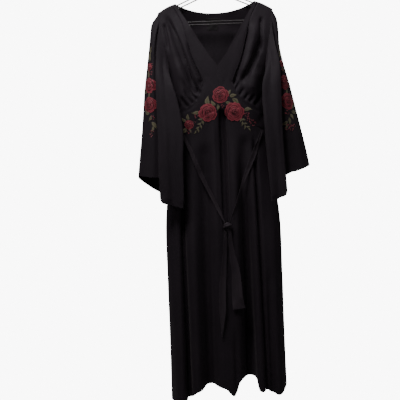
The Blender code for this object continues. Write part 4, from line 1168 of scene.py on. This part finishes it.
class Embroidery:
    """Raised thread laid on cloth, gathered into one mesh with a tone at each point."""

    def __init__(self, tree, ray, plane_y, keep=(-1.0, 1.0), bridge=0.0):
        self.tree, self.plane_y, self.keep, self.bridge = tree, plane_y, keep, bridge
        self.ray = Vector(ray).normalized()
        self.points, self.faces, self.tones = [], [], []

    def lay(self, x, depth, height):
        """The cloth's point behind this place, raised by a height. Places off the panel slide back on it."""
        middle = sum(self.keep) / 2
        for _ in range(20):
            start = Vector((x, self.plane_y, -CORNER_DROP - depth)) - self.ray * 0.2
            hit, normal, _, _ = self.tree.ray_cast(start, self.ray)
            if hit and self.keep[0] <= hit.x <= self.keep[1] and abs(normal.dot(self.ray)) > 0.22:
                out = normal if normal.dot(self.ray) < 0 else -normal
                return hit + out * height
            if hit and not self.keep[0] <= hit.x <= self.keep[1]:
                x += 0.0015 if hit.x < self.keep[0] else -0.0015
            else:
                x += 0.0015 if x < middle else -0.0015
        return None

    def over(self, x, depth, height):
        """The same, bridging what is narrower than twice the bridge."""
        found = [self.lay(x, depth + step, height) for step in (0.0, -self.bridge, self.bridge)]
        found = [point for point in found if point is not None]
        if not found:
            return None
        nearest = min(found, key=lambda point: point.dot(self.ray))
        return found[0] + self.ray * (nearest.dot(self.ray) - found[0].dot(self.ray))

    def patch(self, places, heights, tones):
        """A closed form from a grid of places: its top at these heights, its back on the cloth."""
        rows, columns = heights.shape
        top, back = [], []
        for r in range(rows):
            for c in range(columns):
                x, depth = places[r, c]
                up = (self.over if self.bridge else self.lay)(x, depth, float(heights[r, c]))
                low = self.lay(x, depth, -0.0002)
                if up is None:
                    return
                top.append(up)
                back.append(low)
        self.faces += slab_faces(rows, columns, base=len(self.points))
        self.points += top + back
        self.tones += list(tones.ravel()) + [UNDER_TONE] * len(back)

    def petal(self, centre, radius, angle, ring):
        _, inner, outer, half, height, tone = ring
        s = np.linspace(0, 1, 7)[:, None]
        w = np.linspace(-1, 1, 15)[None]
        notch = 0.05 * np.exp(-((w / 0.16) ** 2))
        reach = radius * (inner + (outer * (1 - 0.22 * np.abs(w) ** 2.4 - notch) - inner) * s)
        turn = angle + half * w * (0.72 + 0.28 * np.sqrt(s))
        places = np.stack([centre[0] + reach * np.cos(turn), centre[1] - reach * np.sin(turn)], axis=-1)
        thread = THREAD_RISE * (np.arange(15) % 2)[None]
        crown = 0.55 + 0.45 * smooth(s / 0.75) - 0.35 * smooth((s - 0.8) / 0.2)
        side = 1 - 0.45 * np.abs(w) ** 4
        # Painted shade and highlight: each petal is darker towards its base and along its middle, and lighter
        # at its rim and sides, over a random tone of its own thread.
        shade = tone - 0.42 + 0.20 * s + 0.72 * smooth((s - 0.80) / 0.12) + RNG.uniform(-0.14, 0.14)
        shade = shade + 0.16 * np.abs(w) ** 3 - 0.22 * np.exp(-((w / 0.10) ** 2)) * (1 - s)
        self.patch(places, height * crown * side + thread, shade + 0 * w)

    def rose(self, x, depth, radius, turn):
        for index, ring in enumerate(PETAL_RINGS):
            for k in range(ring[0]):
                angle = turn + index * 0.55 + 2 * math.pi * k / ring[0] + RNG.uniform(-0.2, 0.2)
                self.petal((x, depth), radius * RNG.uniform(0.93, 1.05), angle, ring)

    def leaf(self, x, depth, heading, length, width, tone=0.5):
        """A pointed leaf with a sunk midrib and slanting stitches. It starts at x and depth."""
        rows, columns = 13, 9
        s = np.linspace(0, 1, rows)[:, None]
        w = np.linspace(-1, 1, columns)[None]
        half = width * 0.41 * np.sin(math.pi * s**0.66) ** 1.25 * (1 + 0.14 * (np.arange(rows) % 2)[:, None])
        along = length * (s - 0.10 * np.abs(w) * (1 - s) * 0.6)
        bend = 0.10 * length * np.sin(math.pi * s)
        a = math.radians(heading)
        side = half * w + bend
        across = x + along * math.cos(a) - side * math.sin(a)
        down = depth - along * math.sin(a) - side * math.cos(a)
        slant = np.arange(rows)[:, None] + np.abs(np.arange(columns) - columns // 2)[None]
        rib = 0.0010 * (1 - 0.55 * np.abs(w) ** 2) - 0.0004 * np.exp(-((w / 0.2) ** 2))
        midrib = 0.35 * np.exp(-((w / 0.16) ** 2))
        shade = tone + 0.18 * np.abs(w) - midrib + 0.22 * s + RNG.uniform(-0.12, 0.12)
        self.patch(np.stack([across, down], axis=-1), rib + THREAD_RISE * (slant % 2), shade)

    def spray(self, x0, depth0, x1, depth1, bend, leaves, length):
        """Small leaves in pairs along a bent stem."""
        run = np.array([x1 - x0, depth1 - depth0])
        span = np.linalg.norm(run)
        square = np.array([run[1], -run[0]]) / span
        heading = math.degrees(math.atan2(-run[1], run[0]))
        for k in range(int(leaves)):
            f = (k + 0.5) / leaves
            x, depth = np.array([x0, depth0]) + run * f + square * bend * math.sin(math.pi * f)
            turn = 0 if k == leaves - 1 else (46 if k % 2 else -46)
            size = length * (1.15 - 0.35 * f)
            self.leaf(x, depth, heading + turn, size, size * 0.46, 0.62)
        f = np.linspace(0, 1, 14)[:, None]
        w = np.linspace(-1, 1, 3)[None]
        x = x0 + run[0] * f + square[0] * (bend * np.sin(math.pi * f) + 0.0008 * w)
        depth = depth0 + run[1] * f + square[1] * (bend * np.sin(math.pi * f) + 0.0008 * w)
        self.patch(np.stack([x, depth], axis=-1), 0.0005 + 0.0002 * (1 - w**2) + 0 * f, 0.4 + 0 * f + 0 * w)

    def bud_group(self, x, depth, count, spread):
        for k in range(int(count)):
            a = 2 * math.pi * k / count + RNG.uniform(-0.5, 0.5)
            r = spread * math.sqrt(RNG.uniform(0.15, 1.0))
            cx, cd = x + r * math.cos(a), depth + r * math.sin(a)
            size = RNG.uniform(0.0018, 0.0030)
            f = np.linspace(0.12, 1, 4)[:, None]
            turn = np.linspace(0, 2 * math.pi, 11)[None]
            places = np.stack([cx + size * f * np.cos(turn), cd + size * f * np.sin(turn)], axis=-1)
            tone = RNG.uniform(0.4, 1.0) - 0.2 * f + 0 * turn
            self.patch(places, 0.0012 * (1 - 0.6 * f**2) + 0 * turn, tone)

    def make(self, name, finish):
        made = piece(name, [tuple(p) for p in self.points], self.faces, finish, "embroidery", 60)
        tones = made.data.attributes.new("tone", "FLOAT", "POINT")
        tones.data.foreach_set("value", np.array(self.tones, dtype=np.float32))
        return made


def embroider(place, tree, ray, plane_y, side, flowers, leaves, sprays, buds, keeps):
    """The roses, leaves and buds of one place. The roses stand for the solids of the same names."""
    sign = side or 1
    rows = list(zip(*flowers.values()))
    for k, (x, depth, radius, turn) in enumerate(rows):
        work = Embroidery(tree, ray, plane_y, keeps(depth), 0 if side else SEAM_BRIDGE)
        work.rose(sign * x, depth, radius, turn)
        made = work.make(f"embroidered_rose_{place}_{k + 1}", ROSE_THREAD)
        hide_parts(f"rose_{place}_{k + 1}")
        STITCHED.setdefault(place, []).append(made)
    green = Embroidery(tree, ray, plane_y, keeps(0.3))
    for x, depth, heading, length, width in zip(*leaves.values()):
        green.leaf(sign * x, depth, heading, length, width)
    for row in zip(*sprays.values()) if sprays else ():
        green.spray(*row)
    STITCHED[place].append(green.make("embroidered_leaves_" + place, LEAF_THREAD))
    red = Embroidery(tree, ray, plane_y, keeps(0.3))
    for x, depth, count, spread in zip(*buds.values()):
        red.bud_group(sign * x, depth, count, spread)
    STITCHED[place].append(red.make("embroidered_buds_" + place, BUD_THREAD))


STITCHED = {}
front_tree = cloth_tree("band_left", "band_right", "skirt_front")
embroider("midriff", front_tree, STRAIGHT, 0.0, 0, ROSES, LEAVES, SPRAYS, BUDS, lambda depth: MIDRIFF_KEEP)
for side, word in ((-1, "left"), (1, "right")):

    def keeps(depth, side=side):
        inner = float(read(SLEEVE_CREASE[side], "x", depth)) + 0.001
        return tuple(sorted((side * inner, side * SLEEVE_REACH)))

    sleeve_tree = cloth_tree("sleeve_" + word)
    ray = (-side * SLEEVE_RAY, 0.87, 0)
    embroider(
        "sleeve_" + word,
        sleeve_tree,
        ray,
        SLEEVE_PLANE,
        side,
        SLEEVE_FLOWERS[side],
        SLEEVE_LEAVES[side],
        None,
        SLEEVE_BUDS[side],
        keeps,
    )


# Ties, knot and tails
TIE_ROOT_Y_CLEAR = 0.0010
BAND_SIDES = 22
TAIL_THICK = 0.0030


def clear_y(x, depth, half_width, gap):
    """A depth in y that clears the skirt's front by this gap, over a strap's width."""
    near = [front_y(x + dx, depth + dz) for dx in (-half_width, 0, half_width) for dz in (-0.012, 0, 0.012)]
    return float(np.min(near)) - gap


def laid_path(start, end, count, half_width, sway):
    """Straight in the front view but for a little sway, and laid over the skirt where it would touch."""
    points = []
    for f in np.linspace(0, 1, count):
        x, depth = (np.array(start[:2]) * (1 - f) + np.array(end[:2]) * f).tolist()
        x += sway * math.sin(2.3 * math.pi * f + 0.6) * math.sin(math.pi * f)
        level = start[2] * (1 - f) + end[2] * f
        y = min(level, clear_y(x, depth, half_width, WALL / 2 + TIE_THICK / 2 + half_width * 0.45))
        points.append((x, y, -CORNER_DROP - depth))
    path = np.array(points)
    for _ in range(3):
        path[1:-1, 1] = np.minimum(path[1:-1, 1], (path[:-2, 1] + path[2:, 1]) / 2 + 0.0002)
    return path


def cloth_band(node, path, widths, turns, grooves, thick=0.0026):
    """A tie of doubled cloth: rolled edges, a pressed fold that wanders, and a seam down one edge."""
    along = unit(np.gradient(path, axis=0))
    wide = unit(np.cross(along, [0, 1, 0]))
    out = np.cross(wide, along)
    turn = np.radians(turns)[:, None]
    flat = wide * np.cos(turn) + out * np.sin(turn)
    face = out * np.cos(turn) - wide * np.sin(turn)
    a = 2 * math.pi * np.arange(BAND_SIDES) / BAND_SIDES
    u = np.sign(np.cos(a)) * np.abs(np.cos(a)) ** 0.75
    v = np.sign(np.sin(a)) * np.abs(np.sin(a)) ** 0.6
    half = np.asarray(widths)[:, None] / 2
    f = np.linspace(0, 1, len(path))[:, None]
    rolled = 1 + 0.45 * np.exp(-(((np.abs(u) - 0.82) / 0.14) ** 2))[None]
    bulk = thick / 2 * (0.66 * rolled + 0.10 * np.sin(23 * f + 2 * u[None]))
    rise = v[None] * bulk
    for place, drift, deep in grooves:
        centre = place + drift * np.sin(5.1 * f + place * 7)
        rise -= deep * np.exp(-(((u[None] - centre) / 0.16) ** 2)) * np.sign(v)[None]
    cup = 0.10 * half * (u[None] ** 2 - 0.4)
    ring = path[:, None] + flat[:, None] * (u[None] * half)[..., None]
    ring = ring + face[:, None] * (rise - cup)[..., None]
    faces = tube_faces(len(path), BAND_SIDES)
    CLOTH[node] = piece("cloth_" + node, ring.reshape(-1, 3), faces, TIE_CREPE_PAINTED_LIGHT, "crepe", 60)
    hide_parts(node)


def make_ties():
    y = clear_y(KNOT_X, KNOT_DEPTH, 0.030, WALL + KNOT_SIZE[1])
    count = 90
    f = np.linspace(0, 1, count)
    for side, word in ((-1, "left"), (1, "right")):
        x, depth = TIE_ROOT[side]
        hit = front_tree.ray_cast(Vector((x, -0.4, -CORNER_DROP - depth)), Vector((0, 1, 0)))[0]
        root = (x, depth, hit.y - TIE_ROOT_Y_CLEAR)
        end = (KNOT_X + side * TIE_ENTRY[0] * KNOT_SIZE[0], KNOT_DEPTH - TIE_ENTRY[1] * KNOT_SIZE[2], y)
        width = TIE_WIDTH[side]
        path = laid_path(root, end, count, width / 2, 0.0025)
        narrow = 1 - 0.35 * smooth((f - 0.85) / 0.15)
        if side < 0:
            widths = width * (0.62 + 0.60 * np.sin(math.pi * f) ** 0.8 + 0.05 * np.sin(17 * f)) * narrow
            turns = -16 + 10 * np.sin(2 * math.pi * f) + 8 * np.sin(9 * f)
            grooves = ((0.25, 0.30, 0.0007), (-0.45, 0.15, 0.0004))
        else:
            bulge = np.exp(-(((f - 0.30) / 0.18) ** 2))
            widths = width * (0.66 + 0.80 * bulge + 0.04 * np.sin(17 * f)) * narrow
            turns = 14 + 34 * smooth((f - 0.45) / 0.35) + 8 * np.sin(11 * f)
            grooves = ((0.05, 0.18, 0.0019), (0.5, 0.1, 0.0003))
        cloth_band("tie_" + word, path, widths, turns, grooves)
    tails = (
        ("left", -0.008, -0.021, 1.198, (0.010, 0.017, 0.024, 0.027, 0.003), 0.003, 0.4),
        ("right", 0.007, 0.044, 1.100, (0.010, 0.019, 0.029, 0.038, 0.045), -0.004, 1.3),
    )
    for word, start_x, end_x, end_depth, widths, sway, phase in tails:
        start = (KNOT_X + start_x, KNOT_DEPTH + TAIL_EXIT * KNOT_SIZE[2] - 0.004, y)
        path = laid_path(start, (end_x, end_depth, y), count, 0.016, sway)
        wide = np.interp(f * 4, range(5), widths)
        turns = TAIL_TURN * np.sin(0.4 + 4.8 * f + phase * 0.2) * (1 - smooth((f - 0.85) / 0.15))
        grooves = ((0.30, 0.25, 0.0011), (-0.35, 0.2, 0.0010), (0.0, 0.1, -0.0005))
        cloth_band("tail_" + word, path, wide, turns, grooves, TAIL_THICK)
    make_knot(y)


def make_knot(y):
    """A knot with a wrap across its front and creases running into it."""
    work = bmesh.new()
    bmesh.ops.create_uvsphere(work, u_segments=56, v_segments=40, radius=1)
    centre = Vector((KNOT_X, y, -CORNER_DROP - KNOT_DEPTH))
    for vertex in work.verts:
        x, depth, z = vertex.co
        across = (z - 0.42 * x) / 1.08
        wrap = 0.17 * math.exp(-((across / 0.30) ** 4))
        lips = 0.11 * math.exp(-(((abs(across) - 0.44) / 0.10) ** 2))
        beyond = smooth(np.array(abs(across) - 0.3)).item()
        pleats = 0.035 * math.sin(11 * math.atan2(x, z) + 2.0 * across) * beyond
        wrinkle = 0.025 * math.sin(14 * across + 3 * x)
        swell = 0.92 + wrap - lips + pleats + wrinkle
        vertex.co = Vector((x * KNOT_SIZE[0], depth * KNOT_SIZE[1], z * KNOT_SIZE[2])) * swell + centre
    mesh = bpy.data.meshes.new("cloth_knot")
    work.to_mesh(mesh)
    work.free()
    mesh.shade_smooth()
    mesh.materials.append(TIE_CREPE_PAINTED_LIGHT)
    made = bpy.data.objects.new("cloth_knot", mesh)
    bpy.context.scene.collection.objects.link(made)
    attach(made, "root")
    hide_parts("tie_knot")


make_ties()


# Sewing
STITCH_SIDES = 6
STITCH_RINGS = ((0.0, 0.35), (0.2, 0.9), (0.5, 1.0), (0.8, 0.9), (1.0, 0.35))  # share of its length, swell
TOP_STITCH = (0.0042, 0.0026)  # pitch and length
SEAM_STITCH = (0.0046, 0.0026)
HEM_STITCH = (0.0070, 0.0016)
HEM_FOLD = 0.024
CUFF_FOLD = 0.020


class Threads:
    """Short stitches gathered into one mesh."""

    def __init__(self):
        self.points, self.faces = [], []

    def stitch(self, start, end, out, radius):
        along = unit(end - start)
        side = unit(np.cross(along, out))
        base = len(self.points)
        for f, swell in STITCH_RINGS:
            middle = start * (1 - f) + end * f + out * radius * (0.9 * math.sin(math.pi * f) - 0.2)
            for k in range(STITCH_SIDES):
                a = 2 * math.pi * k / STITCH_SIDES
                self.points.append(middle + (side * math.cos(a) + out * math.sin(a)) * radius * swell)
        self.faces += tube_faces(len(STITCH_RINGS), STITCH_SIDES, base=base)

    def run(self, line, normals, pitch, length, radius=0.00022):
        """Stitches along a line of points that lies on the cloth."""
        steps = np.linalg.norm(np.diff(line, axis=0), axis=1)
        reach = np.concatenate([[0], np.cumsum(steps)])
        for s in np.arange(pitch / 2, reach[-1] - length, pitch):
            ends = [np.array([np.interp(t, reach, line[:, k]) for k in range(3)]) for t in (s, s + length)]
            out = unit(np.array([np.interp(s, reach, normals[:, k]) for k in range(3)]))
            self.stitch(ends[0], ends[1], out, radius)

    def make(self, name, slot="crepe"):
        return piece(name, self.points, self.faces, THREAD_BLACK, slot, 60)


def beside(name, index, distance, column=True, outside=True):
    """A line on the cloth's face at a distance inside one edge row or column of its grid."""
    points, normals = GRIDS[name]
    if not column:
        points, normals = points.transpose(1, 0, 2), normals.transpose(1, 0, 2)
    step = 1 if index >= 0 else -1
    first, second = points[:, index], points[:, index + 3 * step]
    line = first + unit(second - first) * distance
    out = normals[:, index + step]
    return line + out * (THIN / 2 if outside else -THIN / 2), out if outside else -out


def sew():
    front, back = Threads(), Threads()
    for word in ("left", "right"):
        front.run(*beside("band_" + word, 0, 0.0035), *TOP_STITCH)
        front.run(*beside("band_" + word, -1, 0.0026), *TOP_STITCH)
        front.run(*beside("cup_" + word, -1, 0.0030), *SEAM_STITCH)
    front.run(*beside("skirt_front", -1, HEM_FOLD, column=False), *HEM_STITCH)
    back.run(*beside("skirt_back", -1, HEM_FOLD, column=False), *HEM_STITCH)
    back.run(*beside("back_bodice", -1, 0.0030, column=False), *SEAM_STITCH)
    for name, work in (("skirt_front", front), ("skirt_back", back)):
        for edge in (0, -1):
            work.run(*beside(name, edge, 0.0028), *SEAM_STITCH)
    for name in ("back_bodice", "skirt_back"):
        middle = GRIDS[name][0].shape[1] // 2
        for column in (middle - 1, middle + 1):
            points, normals = (grid[:, column] for grid in GRIDS[name])
            back.run(points + normals * THIN / 2, normals, *SEAM_STITCH)
    neck = slice(4 * FINE, -4 * FINE)
    line, out = beside("back_bodice", 0, 0.0040, column=False)
    back.run(line[neck], out[neck], *TOP_STITCH)
    made = [front.make("stitches_front"), back.make("stitches_back")]
    for word in ("left", "right"):
        cuffs = Threads()
        line, out = beside("sleeve_" + word, -1, CUFF_FOLD, column=False)
        cuffs.run(np.concatenate([line, line[:1]]), np.concatenate([out, out[:1]]), *HEM_STITCH)
        line, out = beside("sleeve_" + word, 0, 0.0030, column=False)
        cuffs.run(line, out, *SEAM_STITCH)
        made.append(cuffs.make("stitches_sleeve_" + word))
    return made


SEWING = sew()


# Label, tab and hanger
LABEL_X = -0.009


def make_label(name, node, top, bottom, width, height):
    work = Embroidery(cloth_tree("back_bodice"), STRAIGHT, 0.0, (-0.12, 0.12))
    s = np.linspace(0, 1, 15)[:, None]
    w = np.linspace(-1, 1, 31)[None]
    x = LABEL_X + width / 2 * w + 0 * s
    depth = top + (bottom - top) * s + 0 * w
    rolled = 1 - np.maximum(np.abs(w), np.abs(2 * s - 1)) ** 14
    rise = height * (0.35 + 0.65 * rolled) + 0.00025 * np.sin(4.2 * w + 5 * s)
    work.patch(np.stack([x, depth], axis=-1), rise, 0.5 + 0 * rise)
    made = piece(name, [tuple(p) for p in work.points], work.faces, SATIN, "label_satin", 60)
    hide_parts(node)
    threads = Threads()
    for sx in (-1, 1):
        for k in range(5):
            depth = top + 0.002 + (bottom - top - 0.004) * k / 4
            ends = [work.lay(LABEL_X + sx * (width / 2 + d), depth, height * 0.8) for d in (-0.0022, 0.0008)]
            threads.stitch(np.array(ends[0]), np.array(ends[1]), np.array([0.0, -1.0, 0.0]), 0.0002)
    threads.make("stitches_" + name, "label_satin")


make_label("satin_label", "neck_label", 0.050, 0.072, 0.050, 0.0012)
make_label("satin_tab", "size_tab", 0.0716, 0.094, 0.037, 0.0010)


def arm_line(inset):
    """One rail's arm from the apex to the tip, this far inside the outer rail."""
    x = np.array([0.030, 0.090, NECK_HALF, 0.170, 0.188, 0.196])
    depth = read(SHOULDER, "depth", x) + RAIL_BELOW + inset / math.cos(math.radians(26))
    return x, depth


def rail_loop(inset):
    """Closed path of one rail: arms, tips and bar."""
    x, depth = arm_line(inset)
    tip = (TIP_X - inset, TIP_DEPTH + inset * 0.35)
    bar = BAR_DEPTH - inset
    half = [(0.0, APEX_DEPTH + inset * 1.1)]
    half += list(zip(x[:-1] - inset * 0.45, depth[:-1]))
    half += [tip, (tip[0] - 0.0015, (tip[1] + bar) / 2 + 0.002), (tip[0] - 0.009, bar)]
    right = [(px, 0, -CORNER_DROP - pd) for px, pd in half]
    left = [(-px, y, z) for px, y, z in right[:0:-1]]
    return right + left


def rounded(path, radius, closed):
    """A path with its corners rounded by short arcs, then points every few millimetres."""
    path = np.array(path, float)
    count = len(path)
    points = []
    for i in range(count):
        if not closed and i in (0, count - 1):
            points.append(path[i])
            continue
        before, after = path[i - 1], path[(i + 1) % count]
        cut = min(radius, np.linalg.norm(before - path[i]) * 0.45, np.linalg.norm(after - path[i]) * 0.45)
        a = path[i] + unit(before - path[i]) * cut
        b = path[i] + unit(after - path[i]) * cut
        for f in np.linspace(0, 1, 6):
            points.append((1 - f) ** 2 * a + 2 * f * (1 - f) * path[i] + f**2 * b)
    return np.array(points)


def bar(name, path, radii, closed, finish, slot, node, sides=18):
    """A round bar along a path in the plane of the hanger."""
    ahead = np.roll(path, -1, axis=0) if closed else np.vstack([path[1:], 2 * path[-1] - path[-2]])
    behind = np.roll(path, 1, axis=0) if closed else np.vstack([2 * path[0] - path[1], path[:-1]])
    along = unit(ahead - behind)
    across = unit(np.cross(along, [0, 1, 0]))
    turn = 2 * math.pi * np.arange(sides) / sides
    ring = np.cos(turn)[None, :, None] * across[:, None] + np.sin(turn)[None, :, None] * np.array([0, 1, 0])
    radii = np.broadcast_to(np.asarray(radii, float), (len(path),))
    points = (path[:, None] + radii[:, None, None] * ring).reshape(-1, 3)
    made = piece(name, points, tube_faces(len(path), sides, closed), finish, slot, 60)
    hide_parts(node)


def make_hanger():
    for word, inset in (("outer", 0), ("inner", RAIL_SPACING)):
        path = rounded(rail_loop(inset), 0.012, True)
        bar("moulded_rail_" + word, path, RAIL_RADIUS, True, PLASTIC, "hanger_plastic", "hanger_rail_" + word)
    outer, inner = rail_loop(0), rail_loop(RAIL_SPACING)
    level = -CORNER_DROP - BAR_DEPTH
    pairs = [(outer[i], inner[i]) for i in (0, 3, len(outer) - 3)]
    pairs += [((x, 0, level), (x, 0, level + RAIL_SPACING)) for x in (-RUNG_BAR_X, RUNG_BAR_X)]
    for k, ends in enumerate(np.array(pairs, float), 1):
        f = np.linspace(0.12, 0.88, 9)[:, None]
        path = ends[0] * (1 - f) + ends[1] * f
        radii = RAIL_RADIUS * (0.72 + 0.25 * np.abs(2 * f[:, 0] - 1) ** 3)
        bar(f"moulded_rung_{k}", path, radii, False, PLASTIC, "hanger_plastic", f"hanger_rung_{k}", 14)
    top, low = -CORNER_DROP - COLLAR_TOP, -CORNER_DROP - APEX_DEPTH + RAIL_RADIUS
    f = np.linspace(0, 1, 25)
    radii = COLLAR_RADIUS * (0.94 + 0.06 * np.cos(f * 8 * math.pi)) * (1 - 0.35 * smooth((f - 0.88) / 0.12))
    path = np.stack([0 * f, 0 * f, low + (top - low) * f], axis=1)
    bar("moulded_collar", path, radii, False, PLASTIC, "hanger_plastic", "hanger_collar", 28)
    centre = HOOK_RADIUS - HOOK_BOW
    turn = np.radians(np.linspace(HOOK_ARC[1], HOOK_ARC[0], 60))
    bow = [(HOOK_BOW * math.cos(a), 0, centre + HOOK_BOW * math.sin(a)) for a in turn]
    stem = rounded([(0, 0, top)] + [(x, 0, centre - drop) for x, drop in HOOK_STEM] + bow[:1], 0.006, False)
    path = np.concatenate([stem[:-1], np.array(bow)])
    radii = np.full(len(path), HOOK_RADIUS)
    radii[-3:] = HOOK_RADIUS * np.array([1.0, 0.9, 0.5])
    bar("wire_hook", path, radii, False, STEEL, "hook_steel", "hanger_hook", 20)


make_hanger()


# Cloth as it was cut, in metres and square metres, for what shows of each piece
SHEETS = (
    ("band_left", (0.100, 0.600), 0.0260, "hung", ("moulded_rail_outer",)),
    ("band_right", (0.100, 0.600), 0.0260, "hung", ("moulded_rail_outer",)),
    ("cup_left", (0.225, 0.420), 0.0495, "gathered", ("moulded_rail_outer", "cloth_band_left")),
    ("cup_right", (0.225, 0.425), 0.0485, "gathered", ("moulded_rail_outer", "cloth_band_right")),
    ("back_bodice", (0.460, 0.490), 0.1770, "hung", ("moulded_rail_outer",)),
    ("sleeve_left", (0.560, 0.640), 0.2130, "hung", ("cloth_cup_left", "cloth_back_bodice")),
    ("sleeve_right", (0.555, 0.640), 0.1920, "hung", ("cloth_cup_right", "cloth_back_bodice")),
    ("skirt_front", (0.880, 1.060), 0.5850, "hung", ("cloth_band_left", "cloth_band_right")),
    ("skirt_back", (0.570, 0.970), 0.4370, "hung", ("cloth_back_bodice",)),
    ("tie_left", (0.018, 0.405), 0.0055, "hung", ("cloth_skirt_front", "cloth_knot")),
    ("tie_right", (0.018, 0.365), 0.0049, "hung", ("cloth_skirt_front", "cloth_knot")),
    ("tail_left", (0.030, 0.400), 0.0077, "hung", ("cloth_knot",)),
    ("tail_right", (0.046, 0.305), 0.0086, "hung", ("cloth_knot",)),
)
GOING_WITH = {
    "band_left": STITCHED["midriff"],
    "sleeve_left": STITCHED["sleeve_left"] + SEWING[2:3],
    "sleeve_right": STITCHED["sleeve_right"] + SEWING[3:4],
    "skirt_front": SEWING[0:1],
    "skirt_back": SEWING[1:2],
}
for name, flat, area, held, rests_on in SHEETS:
    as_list(GOING_WITH.get(name, ()))
